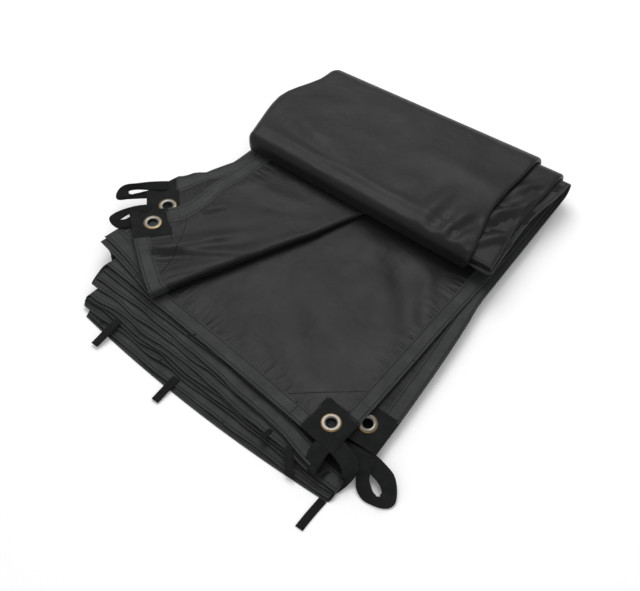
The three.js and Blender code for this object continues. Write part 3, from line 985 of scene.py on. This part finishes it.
def new_piece(name: str, mesh: bmesh.types.BMesh, material: bpy.types.Material) -> bpy.types.Object:
    """Makes a finished object of a mesh, in metres, and shades it smooth.

    Args:
        name: the piece's name.
        mesh: its mesh, which is freed.
        material: its material.

    Returns:
        The object.
    """
    data = bpy.data.meshes.new(name)
    mesh.to_mesh(data)
    mesh.free()
    data.materials.append(material)
    data.polygons.foreach_set("use_smooth", [True] * len(data.polygons))
    piece = bpy.data.objects.new(name, data)
    bpy.context.scene.collection.objects.link(piece)
    return piece


def thicken(piece: bpy.types.Object, thickness: float) -> None:
    """Gives a sheet its thickness, half to each side, in metres."""
    modifier = piece.modifiers.new("thickness", "SOLIDIFY")
    modifier.thickness = thickness
    modifier.offset = 0.0
    modifier.use_even_offset = False


def parameter_grid(columns: list[float], rows: list[float]) -> bmesh.types.BMesh:
    """Makes a flat grid whose points lie at the given places.

    Args:
        columns: places along X.
        rows: places along Y.

    Returns:
        The mesh.
    """
    mesh = bmesh.new()
    across, along = len(columns) - 1, len(rows) - 1
    bmesh.ops.create_grid(mesh, x_segments=across, y_segments=along, size=1.0)
    for vertex in mesh.verts:
        i = round((vertex.co.x + 1) / 2 * across)
        j = round((vertex.co.y + 1) / 2 * along)
        vertex.co = Vector((columns[i], rows[j], 0.0))
    return mesh


def spaced(start: float, stop: float, step: float) -> list[float]:
    """Returns even places from start up to, but without, stop, at most step apart."""
    count = max(1, math.ceil((stop - start) / step - 1e-6))
    return [lerp(start, stop, k / count) for k in range(count)]


def map_from_places(mesh: bmesh.types.BMesh, scale: float = MM) -> None:
    """Keeps the flat places of a mesh as its cloth map."""
    layer = mesh.loops.layers.uv.new("cloth")
    for face in mesh.faces:
        for loop in face.loops:
            loop[layer].uv = (loop.vert.co.x * scale, loop.vert.co.y * scale)


@dataclass
class FoldedSheet:
    """The hemmed sheet on its folds, and the hem bands that finish its edges.

    Attributes:
        fold: how it lies.
        thick: the cloth's thickness in metres.
        hem_thick: the turned hem's thickness in metres.
        hem: the hem's width in millimetres.
        coarse: mesh spacing inside the pile.
        cuts: cuts of each coarse cell where the cloth shows.
        bend_cells: cells across a small bend and across the tall one.
        steps: mesh spacing along the flat runs, the far fold and the hanging part.
        hem_steps: mesh spacing along a hem on the flat runs and on the far fold.
        hem_depths: mesh lines across a hem.
        show_hem: run from a front hem where the pile's top and flap show, and where any hem shows.
        show_top: run from a front hem to which the top shows.
        show_slab: run from which the top of the folded-over end shows.
        show_side: runs between which that end's right side shows.
        show_margins: how far the top panel is hidden from its fold, and that side's width.
    """

    fold: Fold
    thick: float = 0.0005
    hem_thick: float = 0.00105
    hem: float = 21.0
    coarse: float = 20.0
    cuts: int = 3
    bend_cells: tuple[int, int] = (6, 12)
    steps: tuple[float, float, float] = (18.0, 8.0, 4.5)
    hem_steps: tuple[float, float] = (5.0, 4.0)
    hem_depths: tuple[float, ...] = (0, 1.5, 3.2, 6, 9, 12, 15, 17.5, 19.5)
    show_hem: tuple[float, float] = (56.0, 36.0)
    show_top: float = 330.0
    show_slab: float = 560.0
    show_side: tuple[float, float] = (590.0, 790.0)
    show_margins: tuple[float, float] = (90.0, 70.0)

    def columns(self) -> list[float]:
        """Returns the places of the sheet's mesh lines across its width."""
        places: list[float] = []
        starts = self.fold.starts()
        for segment in range(len(starts) - 1):
            start, stop = starts[segment], starts[segment + 1]
            if segment % 2 == 0:
                places += spaced(start, stop, self.coarse)
            else:
                wraps = self.fold.bends[segment // 2].wraps
                places += spaced(start, stop, (stop - start) / self.bend_cells[wraps])
        return places + [starts[-1]]

    def rows(self) -> list[float]:
        """Returns the places of the sheet's mesh lines along its length."""
        flat, bent, hanging = self.steps
        half = spaced(0, RUN_FAR, flat) + spaced(RUN_FAR, RUN_BACK, bent) + spaced(RUN_BACK, RUN_END, flat)
        half += spaced(RUN_END, self.fold.half_run, hanging) + [self.fold.half_run]
        back = [self.fold.full_run - place for place in reversed(half)]
        return half + self.fold.centre_places(range(1, 4)) + back

    def shows(self, width: float, run: float) -> bool:
        """Tells whether the cloth shows at a place, and so needs a fine mesh.

        Args:
            width: distance across the sheet.
            run: distance along it.

        Returns:
            True where it shows.
        """
        starts = self.fold.starts()
        segment = self.fold.segment_at(starts, width)
        inner = run < self.fold.full_run / 2
        own = run if inner else self.fold.full_run - run
        if segment % 2:
            return False
        panel = segment // 2
        if own < self.show_hem[0]:
            return panel in (0, 1, 6) or own < self.show_hem[1]
        if panel == 0:
            return inner and own < self.show_top
        if panel == 6:
            return inner and own < self.show_top and width > starts[12] + self.show_margins[0]
        if panel == 2:
            return not inner and own > self.show_slab
        if panel == 4:
            beside = self.show_side[0] < own < self.show_side[1]
            return not inner and beside and width > starts[9] - self.show_margins[1]
        return False

    def under_patch(self, place: Vector) -> bool:
        """Tells whether a corner patch takes the cloth's place.

        Args:
            place: distances across and along the sheet.

        Returns:
            True where the cloth is left out.
        """
        reach = self.fold.patch - 5
        width, run = self.fold.full_width, self.fold.full_run
        if not (min(place.y, run - place.y) < reach and min(place.x, width - place.x) < reach):
            return False
        edge = Edge.FLAP if place.x < width / 2 else Edge.SHORT
        panel = self.fold.panels[0 if edge is Edge.FLAP else -1]
        real = self.fold.panel_width(edge, place.y)
        return min(place.x, width - place.x) * real / panel.width < reach

    def build_cloth(self, material: bpy.types.Material) -> bpy.types.Object:
        """Builds the sheet.

        Args:
            material: its material.

        Returns:
            The object.
        """
        mesh = parameter_grid(self.columns(), self.rows())
        fine = [f for f in mesh.faces if self.shows(*f.calc_center_median().xy)]
        edges = list({edge for face in fine for edge in face.edges})
        bmesh.ops.subdivide_edges(mesh, edges=edges, cuts=self.cuts, use_grid_fill=True)
        covered = [face for face in mesh.faces if self.under_patch(face.calc_center_median())]
        bmesh.ops.delete(mesh, geom=covered, context="FACES")
        map_from_places(mesh)
        for vertex in mesh.verts:
            vertex.co = to_pad(self.fold.at(vertex.co.x, vertex.co.y))
        cloth = new_piece("cloth_sheet", mesh, material)
        thicken(cloth, self.thick)
        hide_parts("cloth")
        return cloth

    def build_hem(self, edge: Edge, material: bpy.types.Material) -> bpy.types.Object:
        """Builds the turned and stitched band along one edge.

        Args:
            edge: the edge.
            material: its material.

        Returns:
            The object.
        """
        front = edge in (Edge.FRONT_INNER, Edge.FRONT_OUTER)
        length = self.fold.full_width if front else self.fold.full_run
        skip = self.fold.patch - 4
        flat, bent = self.hem_steps
        places: list[float] = []
        if front:
            starts = self.fold.starts()
            for segment in range(len(starts) - 1):
                start = max(starts[segment], skip)
                stop = min(starts[segment + 1], length - skip)
                fine = flat if segment % 2 == 0 else (starts[segment + 1] - starts[segment]) / 8
                places += spaced(start, stop, fine)
        else:
            half_run = self.fold.half_run
            half = spaced(skip, RUN_FAR, flat) + spaced(RUN_FAR, RUN_BACK, bent)
            half += spaced(RUN_BACK, half_run, flat)
            back = [length - place for place in reversed([*half, half_run])]
            places = half + self.fold.centre_places(range(4)) + back
        places = sorted({round(min(p, length - skip), 4) for p in [*places, length - skip]})
        mesh = parameter_grid(places, [*self.hem_depths, self.hem])
        map_from_places(mesh)
        for vertex in mesh.verts:
            along, depth = vertex.co.x, vertex.co.y
            width, run = self.fold.inward(edge, along, depth)
            point = self.fold.at(width, run)
            point += self.fold.normal(width, run) * self.pucker(along, depth)
            vertex.co = to_pad(point)
        band = new_piece(f"hem_{edge.value}", mesh, material)
        thicken(band, self.hem_thick)
        return band

    @staticmethod
    def pucker(along: float, depth: float) -> float:
        """Returns the small gathers that sewing leaves in a hem, in millimetres."""
        gather = noise.noise(Vector((along / 6.5, depth / 14, 3.1)))
        wave = noise.noise(Vector((along / 19, depth / 60, 7.7)))
        return 0.25 * gather + 0.35 * wave * smooth(1 - depth / 21)


class CornerName(Enum):
    """The sheet's four corners."""

    FRONT_TOP = "front_top"
    FRONT_LOW = "front_low"
    FLAP_TOP = "flap_top"
    FLAP_LOW = "flap_low"


@dataclass(frozen=True)
class StrapPlace:
    """A place along a webbing loop: its outer and inner edge on the plan, with their heights.

    Attributes:
        outer: place of the outer edge, in millimetres.
        inner: place of the inner edge.
        fill: how much a narrow place is drawn apart, and at most to the webbing's width.
    """

    outer: tuple[float, ...]
    inner: tuple[float, ...]
    fill: float = 1.35

    def edges(self, width: float) -> tuple[Vector, Vector]:
        """Returns both edges, drawn apart towards the webbing's width where they lie too close."""
        first, second = Vector(self.outer), Vector(self.inner)
        across = second - first
        span = clamp(across.length / width * self.fill) * width
        return first, first + across.normalized() * span


def strap(*places: tuple[float, ...]) -> tuple[StrapPlace, ...]:
    """Returns the places along a loop, each given by six numbers."""
    return tuple(StrapPlace(place[:3], place[3:]) for place in places)


# Places along the loops, picked in the photo and then changed: x, y and height of the outer edge,
# then of the inner one, in millimetres.
LOOPS = {
    CornerName.FRONT_TOP: strap(
        (145, -231, 26.3, 165, -230, 26.5), (143, -241, 26.3, 164, -241, 26.5),
        (143, -251, 24, 164, -252, 23), (145, -257, 20, 164, -263, 19),
        (147, -261, 14, 165, -268, 17), (152, -263, 7.5, 168, -264, 16),
        (161, -268, 3, 170, -258, 13), (174, -271, 1.6, 173, -254, 10),
        (186, -271, 1.6, 180, -251, 9), (193, -267, 1.8, 187, -250, 10),
        (197, -258, 4, 190, -247, 11), (200, -247, 8, 190, -249, 13),
        (201, -238, 14, 191, -250, 16), (199, -232, 18, 191, -250, 19),
        (193, -226, 22, 184, -246, 22), (182, -222, 25, 175, -242, 25),
        (170, -219, 26.3, 167, -240, 26.3), (160, -218, 26.3, 158, -239, 26.3),
    ),
    CornerName.FRONT_LOW: strap(
        (166, -212, 15.5, 176, -228, 15), (176, -210, 14.5, 185, -228, 14),
        (190, -207, 13, 197, -226, 13), (205, -205, 12, 206, -226, 12),
        (219, -207, 11, 218, -228, 10), (233, -211, 10, 229, -230, 9),
        (242, -218, 9, 237, -232, 8), (249, -227, 6, 239, -237, 9),
        (253, -236, 3, 241, -242, 10), (251, -244, 1.6, 239, -245, 10),
        (243, -250, 1.4, 236, -247, 9), (232, -253, 1.4, 232, -247, 9),
        (223, -254, 1.5, 226, -246, 9), (215, -252, 2.5, 219, -242, 10),
        (208, -248, 5, 214, -238, 11), (203, -242, 8.5, 210, -231, 12),
        (198, -234, 12, 208, -221, 13), (193, -225, 13, 206, -211, 13.5),
    ),
    CornerName.FLAP_TOP: strap(
        (-240, -94, 38, -234, -103, 38), (-249, -102, 39, -243, -108, 39),
        (-260, -116, 39, -255, -120, 37), (-269, -131, 37, -260, -133, 36),
        (-271, -142, 35, -261, -140, 36), (-263, -147, 32.5, -257, -139, 36),
        (-252, -147, 32, -251, -136, 36), (-244, -141, 33, -247, -130, 37),
        (-237, -132, 35, -242, -121, 37.5), (-229, -122, 37, -236, -112, 38),
    ),
    CornerName.FLAP_LOW: strap(
        (-254, -46, 34, -247, -55, 34), (-265, -56, 35, -257, -64, 34.5),
        (-275, -66, 36, -270, -72, 33), (-286, -77, 36, -283, -80, 31),
        (-295, -85, 35, -290, -87, 30), (-298, -94, 34, -289, -92, 30),
        (-297, -103, 31, -286, -95, 30), (-293, -108, 28, -283, -95, 30),
        (-288, -106, 26.5, -279, -91, 30), (-281, -99, 26.5, -273, -85, 31),
        (-271, -91, 27.5, -267, -78, 31), (-260, -84, 29.5, -261, -70, 32),
    ),
}


@dataclass
class Corner:
    """A corner of the sheet: webbing patch, eyelet, loop and facing.

    Attributes:
        name: which corner.
        fold: how the sheet lies.
        patch_thick: thickness of the folded webbing patch.
        webbing: width of the loop's webbing.
        webbing_thick: its thickness.
        eyelet_in: from the two hems to the eyelet's middle.
        hem: the hem's width.
        facing: legs of the facing.
        facing_lift: how far the facing's middle lies off the cloth's.
        facing_thick: the facing's thickness.
        hole: radius of the hole in the patch.
        spokes: mesh lines from that hole to the patch's border.
        rings: cuts along each of them.
        stitch_rows: distance from the border and depth of each row of stitches.
        stitch_width: how far a row's groove spreads.
        border: width and depth of the rounded border.
        bore: the eyelet's inner radius, and the outer one of its barrel.
        rim: middle, half width and rise of its rolled rim.
        rim_edge: radius of the rim's underside.
    """

    name: CornerName
    fold: Fold
    patch_thick: float = 1.6
    webbing: float = 21.0
    webbing_thick: float = 1.3
    eyelet_in: float = 28.0
    hem: float = 21.0
    facing: float = 110.0
    facing_lift: float = 0.36
    facing_thick: float = 0.2
    hole: float = 7.0
    spokes: int = 96
    rings: int = 17
    stitch_rows: tuple[tuple[float, float], ...] = ((3.4, 0.4), (7.0, 0.22))
    stitch_width: float = 0.8
    border: tuple[float, float] = (1.6, 0.45)
    bore: tuple[float, float] = (6.3, 7.1)
    rim: tuple[float, float, float] = (9.4, 3.05, 1.15)
    rim_edge: float = 11.9

    def __post_init__(self) -> None:
        """Works out the corner's point and directions."""
        flap = self.name in (CornerName.FLAP_TOP, CornerName.FLAP_LOW)
        low = self.name in (CornerName.FRONT_LOW, CornerName.FLAP_LOW)
        self.edge = Edge.FLAP if flap else Edge.SHORT
        self.front = Edge.FRONT_OUTER if low else Edge.FRONT_INNER
        self.is_low = low
        at = self.fold.at
        start_run = self.fold.full_run if low else 0.0
        patch_run = self.fold.full_run - self.fold.patch if low else self.fold.patch
        side = 0.0 if flap else self.fold.full_width
        real = self.fold.panel_width(self.edge, start_run)
        if flap:
            h = 1 if low else 0
            panel = self.fold.panels[0]
            real = math.hypot(real, panel.fronts[h][2] - panel.fronts[h][0])
            inside = self.fold.patch * panel.width / real
        else:
            inside = self.fold.full_width - self.fold.patch * self.fold.panels[-1].width / real
        self.origin = at(side, start_run)
        to_hem = at(inside, start_run) - self.origin
        to_short = at(side, patch_run) - self.origin
        inner = at(inside, patch_run) - self.origin
        self.along_hem = to_hem.normalized()
        self.face = to_hem.cross(to_short).normalized()
        if self.face.z < 0:
            self.face.negate()
        self.along_short = self.face.cross(self.along_hem).normalized()
        if self.along_short.dot(to_short) < 0:
            self.along_short.negate()
        self.corners = [Vector((0, 0))] + [
            Vector((v.dot(self.along_hem), v.dot(self.along_short))) for v in (to_hem, inner, to_short)
        ]

    def place(self, a: float, b: float, up: float) -> Vector:
        """Sets a place in the corner's own plane.

        Args:
            a: distance along the front hem.
            b: distance along the short edge.
            up: height over the middle of the cloth.

        Returns:
            The plan place.
        """
        return self.origin + self.along_hem * a + self.along_short * b + self.face * up

    def build_patch(self, material: bpy.types.Material) -> bpy.types.Object:
        """Builds the square webbing patch with its hole and its rows of stitches.

        Args:
            material: its material.

        Returns:
            The object.
        """
        mesh = bmesh.new()
        bmesh.ops.create_circle(mesh, segments=self.spokes, radius=self.hole)
        inner_ring = list(mesh.edges)
        centre = Vector((self.eyelet_in, self.eyelet_in))
        for vertex in mesh.verts:
            vertex.co += Vector((centre.x, centre.y, 0))
        outer = bmesh.ops.extrude_edge_only(mesh, edges=inner_ring)["geom"]
        for vertex in (g for g in outer if isinstance(g, bmesh.types.BMVert)):
            ray = (Vector(vertex.co.xy) - centre).normalized()
            side = self.fold.patch
            reach = min((side - c if r > 0 else c) / max(abs(r), 1e-6) for r, c in zip(ray, centre))
            a, b = (centre + ray * reach) / side
            low = self.corners[0].lerp(self.corners[1], a)
            high = self.corners[3].lerp(self.corners[2], a)
            vertex.co = Vector((*low.lerp(high, b), 0))
        radial = [e for e in mesh.edges if len(e.link_faces) == 2]
        bmesh.ops.subdivide_edges(mesh, edges=radial, cuts=self.rings, use_grid_fill=False)
        map_from_places(mesh)
        top = bmesh.ops.extrude_face_region(mesh, geom=list(mesh.faces))["geom"]
        raised = {g for g in top if isinstance(g, bmesh.types.BMVert)}
        for vertex in mesh.verts:
            a, b = vertex.co.x, vertex.co.y
            half = self.patch_thick / 2 - self.groove(a, b)
            vertex.co = to_pad(self.place(a, b, half if vertex in raised else -half))
        bmesh.ops.recalc_face_normals(mesh, faces=mesh.faces)
        patch = new_piece(f"patch_{self.name.value}", mesh, material)
        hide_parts(f"corner_patch_{self.name.value}")
        return patch

    def groove(self, a: float, b: float) -> float:
        """Returns how far the stitches and the rounded border pull the patch's face down at a, b."""
        span = self.fold.patch
        inset = min(a, b, span - a, span - b)
        rows = 0.0
        for place, depth in self.stitch_rows:
            rows += math.exp(-(((inset - place) / self.stitch_width) ** 2)) * depth
        width, down = self.border
        return rows + down * (1 - smooth(inset / width))

    def build_eyelet(self, material: bpy.types.Material) -> bpy.types.Object:
        """Builds the rolled eyelet by spinning its profile.

        Args:
            material: its material.

        Returns:
            The object.
        """
        low = self.patch_thick / 2 + 0.1
        inside, outside = self.bore
        middle, half, rise = self.rim
        outline = [(inside, 0.0), (inside + 0.05, low - 0.2)]
        for angle in (math.pi * k / 12 for k in range(13)):
            outline.append((middle - half * math.cos(angle), low + 0.05 + rise * math.sin(angle)))
        outline += [(self.rim_edge, low - 0.1), (middle, low - 0.15), (outside, low - 0.2), (outside, 0.0)]
        profile = outline + [(r, -z) for r, z in reversed(outline[1:-1])]
        mesh = bmesh.new()
        ring = [mesh.verts.new((r, 0, z)) for r, z in profile]
        edges = [mesh.edges.new((ring[k], ring[(k + 1) % len(ring)])) for k in range(len(ring))]
        bmesh.ops.spin(mesh, geom=ring + edges, cent=(0, 0, 0), axis=(0, 0, 1), angle=2 * math.pi,
                       steps=56, use_merge=True)
        bmesh.ops.remove_doubles(mesh, verts=mesh.verts, dist=0.001)
        layer = mesh.loops.layers.uv.new("cloth")
        for face in mesh.faces:
            for loop in face.loops:
                point = loop.vert.co
                loop[layer].uv = (math.atan2(point.y, point.x) * 0.01, math.hypot(point.x, point.y) * MM)
        for vertex in mesh.verts:
            point = vertex.co.copy()
            vertex.co = to_pad(self.place(self.eyelet_in + point.x, self.eyelet_in + point.y, point.z))
        bmesh.ops.recalc_face_normals(mesh, faces=mesh.faces)
        eyelet = new_piece(f"eyelet_ring_{self.name.value}", mesh, material)
        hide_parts(f"eyelet_{self.name.value}")
        return eyelet

    def build_facing(self, material: bpy.types.Material) -> bpy.types.Object:
        """Builds the triangle of cloth sewn over the corner.

        Args:
            material: its material.

        Returns:
            The object.
        """
        lines = spaced(self.hem - 2, self.facing, 3.0) + [self.facing]
        mesh = parameter_grid(lines, lines)
        cut = Vector((self.facing / 2 + 0.5, self.facing / 2 + 0.5, 0))
        bmesh.ops.bisect_plane(mesh, geom=[*mesh.verts, *mesh.edges, *mesh.faces], plane_co=cut,
                               plane_no=(1, 1, 0), clear_outer=True)
        under = [f for f in mesh.faces if max(f.calc_center_median().xy) < self.fold.patch - 4]
        bmesh.ops.delete(mesh, geom=under, context="FACES")
        map_from_places(mesh)
        side = 1.0 if self.face.dot(self.sheet_normal(30, 30)) > 0 else -1.0
        for vertex in mesh.verts:
            a, b = vertex.co.x, vertex.co.y
            width, run = self.on_sheet(a, b)
            point = self.fold.at(width, run) + self.fold.normal(width, run) * side * self.facing_lift
            vertex.co = to_pad(point)
        facing = new_piece(f"facing_{self.name.value}", mesh, material)
        thicken(facing, self.facing_thick * MM)
        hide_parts(f"corner_facing_{self.name.value}")
        return facing

    def on_sheet(self, a: float, b: float) -> tuple[float, float]:
        """Returns the width and run of a place given from the corner along its two edges."""
        run = self.fold.full_run - b if self.is_low else b
        width, _ = self.fold.inward(self.edge, run, a)
        return width, run

    def sheet_normal(self, a: float, b: float) -> Vector:
        """Returns the sheet's own normal near the corner."""
        return self.fold.normal(*self.on_sheet(a, b))

    def build_loop(self, material: bpy.types.Material) -> bpy.types.Object:
        """Builds the webbing loop, out over one hem and back over the other.

        Args:
            material: its material.

        Returns:
            The object.
        """
        places = [place.edges(self.webbing) for place in LOOPS[self.name]]
        loop = build_ribbon(f"loop_{self.name.value}", places, self.webbing, material)
        thicken(loop, self.webbing_thick * MM)
        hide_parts(f"corner_loop_{self.name.value}")
        return loop


def through(places: list[Vector], steps: int) -> list[Vector]:
    """Makes a smooth line of close points through places.

    Args:
        places: the places.
        steps: points from one place to the next.

    Returns:
        The points.
    """
    fine = []
    for k in range(len(places) - 1):
        start, stop = places[k], places[k + 1]
        first = (stop - places[max(k - 1, 0)]) / 2
        last = (places[min(k + 2, len(places) - 1)] - start) / 2
        for step in range(steps):
            w0, w1, w2, w3 = curve_weights(step / steps)
            fine.append(start * w0 + first * w1 + stop * w2 + last * w3)
    return fine + [places[-1]]


def build_ribbon(name: str, places: list[tuple[Vector, Vector]], width: float,
                 material: bpy.types.Material) -> bpy.types.Object:
    """Builds a strap whose two edges run smoothly through the given places.

    Args:
        name: the piece's name.
        places: plan places of its two edges.
        width: its width in millimetres.
        material: its material.

    Returns:
        The object.
    """
    outer = through([edge for edge, _ in places], RIBBON_STEPS)
    inner = through([edge for _, edge in places], RIBBON_STEPS)
    lengths = [0.0]
    for k in range(1, len(outer)):
        middle = (outer[k] + inner[k]) / 2 - (outer[k - 1] + inner[k - 1]) / 2
        lengths.append(lengths[-1] + max(middle.length, 0.05))
    mesh = parameter_grid(lengths, [width * k / RIBBON_CELLS for k in range(RIBBON_CELLS + 1)])
    map_from_places(mesh)
    for vertex in mesh.verts:
        k = nearest(lengths, vertex.co.x)
        vertex.co = to_pad(outer[k].lerp(inner[k], vertex.co.y / width))
    return new_piece(name, mesh, material)


def build_band(name: str, stations: list[tuple[Vector, Vector]], width: float,
               material: bpy.types.Material) -> bpy.types.Object:
    """Builds a flat band through stations.

    Args:
        name: the piece's name.
        stations: plan places of its middle with the directions of its width.
        width: its width in millimetres.
        material: its material.

    Returns:
        The object.
    """
    lengths = [0.0]
    for before, after in zip(stations, stations[1:]):
        lengths.append(lengths[-1] + (after[0] - before[0]).length)
    mesh = parameter_grid(lengths, [width * (k / BAND_CELLS - 0.5) for k in range(BAND_CELLS + 1)])
    map_from_places(mesh)
    for vertex in mesh.verts:
        k = nearest(lengths, vertex.co.x)
        ahead = (stations[min(k + 1, len(stations) - 1)][0] - stations[max(k - 1, 0)][0]).normalized()
        side = stations[k][1]
        if 0 < k < len(stations) - 1:
            side = (side - ahead * side.dot(ahead)).normalized()
        vertex.co = to_pad(stations[k][0] + side * vertex.co.y)
    return new_piece(name, mesh, material)


@dataclass(frozen=True)
class Tape:
    """A narrow tape tab.

    Attributes:
        layer: the layer of the pile that it lies on.
        resting: plan places where it lies on that layer.
        hanging: places after that, with their heights.
        sink: how much lower than the layer's face it starts.
    """

    layer: int
    resting: tuple[tuple[float, float], ...]
    hanging: tuple[tuple[float, float, float], ...]
    sink: float = 0.0


TAPES = {
    "left": Tape(3, ((-160, -246.2), (-160.3, -250)), ((-161.5, -268, 8.2), (-163, -287, 4.2))),
    "middle": Tape(1, ((-49, -261.8), (-49.4, -275)), ((-50, -300, 2.2),)),
    "right": Tape(0, (), ((186, -280.7, 1.1), (185, -304, 1.0), (185, -323, 1.0))),
    "small": Tape(5, ((88, -251.8), (88, -259)), ((88, -266, 14.6),), sink=1.1),
    "hanging": Tape(5, ((122, -258.4), (125, -264.5)), ((133, -273, 11.4), (141, -282, 6.4))),
}


@dataclass
class TieTapes:
    """The tape tabs along the long edges.

    Attributes:
        fold: how the sheet lies.
        width: a tab's width.
        thick: its thickness.
        seat: gap between the solid tab and its layer.
        solid_half: half the solid tab's thickness.
    """

    fold: Fold
    width: float = 10.0
    thick: float = 1.1
    seat: float = 0.3
    solid_half: float = 0.7

    def build(self, material: bpy.types.Material) -> list[bpy.types.Object]:
        """Builds every tab.

        Args:
            material: their material.

        Returns:
            The objects.
        """
        made = []
        for name, tape in TAPES.items():
            lift = self.fold.cloth / 2 + self.seat + self.solid_half - tape.sink
            places = [Vector((x, y, self.fold.pile_height(tape.layer, x, y) + lift)) for x, y in tape.resting]
            places += [Vector(p) for p in tape.hanging]
            stations = [(p, Vector((1, 0, 0))) for p in through(places, TAPE_STEPS)]
            piece = build_band(f"tape_tab_{name}", stations, self.width, material)
            thicken(piece, self.thick * MM)
            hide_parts(f"tie_tape_{name}")
            made.append(piece)
        return made


@dataclass(frozen=True)
class AreaLight:
    """A soft square light that faces the origin.

    Attributes:
        name: its name.
        place: where it hangs, in metres.
        size: its side.
        power: its power in watts.
    """

    name: str
    place: tuple[float, float, float]
    size: float
    power: float

    def build(self) -> None:
        """Hangs the light."""
        data = bpy.data.lights.new(self.name, "AREA")
        data.shape = "SQUARE"
        data.size = self.size
        data.energy = self.power
        light = bpy.data.objects.new(self.name, data)
        light.location = self.place
        light.rotation_euler = (Vector() - Vector(self.place)).to_track_quat("-Z", "Y").to_euler()
        bpy.context.scene.collection.objects.link(light)


@dataclass
class Studio:
    """Camera, floor and lights.

    Attributes:
        camera_place: where the camera stands, in metres.
        turn_deg: its turn about the vertical.
        down_deg: how far down it looks.
        lens: its focal length, in millimetres.
        sensor: its sensor's width, in millimetres.
        floor_half: half the floor's side, in metres.
        sky: strength of the white surroundings.
        lights: the lights.
    """

    camera_place: tuple[float, float, float] = (0.48167, -0.6244, 1.00022)
    turn_deg: float = 36.94
    down_deg: float = 53.80
    lens: float = 54.0
    sensor: float = 36.0
    floor_half: float = 6.0
    sky: float = 0.68
    lights: tuple[AreaLight, ...] = (
        AreaLight("overhead", (-0.55, 0.75, 1.75), 1.3, 23),
        AreaLight("front_fill", (1.2, -1.4, 1.2), 1.4, 4),
    )

    def build_camera(self) -> None:
        """Sets the camera where the photograph was taken from."""
        data = bpy.data.cameras.new("camera")
        data.lens = self.lens
        data.sensor_width = self.sensor
        camera = bpy.data.objects.new("camera", data)
        camera.location = self.camera_place
        camera.rotation_euler = (math.radians(90 - self.down_deg), 0, math.radians(self.turn_deg))
        bpy.context.scene.collection.objects.link(camera)
        bpy.context.scene.camera = camera

    def build_floor(self) -> None:
        """Lays the floor."""
        mesh = bmesh.new()
        bmesh.ops.create_grid(mesh, x_segments=1, y_segments=1, size=self.floor_half)
        floor = new_piece("floor", mesh, PaleFloor().build())

    def build(self) -> None:
        """Builds the whole studio."""
        self.build_camera()
        self.build_floor()
        world = bpy.data.worlds.new("studio")
        world.use_nodes = True
        background = world.node_tree.nodes["Background"]
        background.inputs[0].default_value = (1, 1, 1, 1)
        background.inputs[1].default_value = self.sky
        bpy.context.scene.world = world
        bpy.context.scene.view_settings.view_transform = "Standard"
        for light in self.lights:
            light.build()


def main() -> None:
    """Builds the tarp and its studio in order."""
    logging.basicConfig(level=logging.INFO, format="%(message)s")
    Studio().build()
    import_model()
    fold = Fold()
    cloth_finish = CoatedCloth().build()
    hem_finish = StitchedHem().build()
    webbing_finish = RibbedWebbing().build()
    tape_finish = RibbedWebbing("narrow_tape", rib=0.0014).build()
    brass_finish = AgedBrass().build()
    sheet = FoldedSheet(fold)
    cloth = sheet.build_cloth(cloth_finish)
    made = [cloth]
    for edge in Edge:
        made.append(sheet.build_hem(edge, hem_finish))
    for name in CornerName:
        part = Corner(name, fold)
        made.append(part.build_patch(webbing_finish))
        made.append(part.build_eyelet(brass_finish))
        made.append(part.build_loop(webbing_finish))
        if not part.is_low:
            made.append(part.build_facing(cloth_finish))
    made += TieTapes(fold).build(tape_finish)
    for piece in made:
        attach(piece, "root")
        LOG.info("%s: %d faces", piece.name, len(piece.data.polygons))


if __name__ == "__main__":
    main()
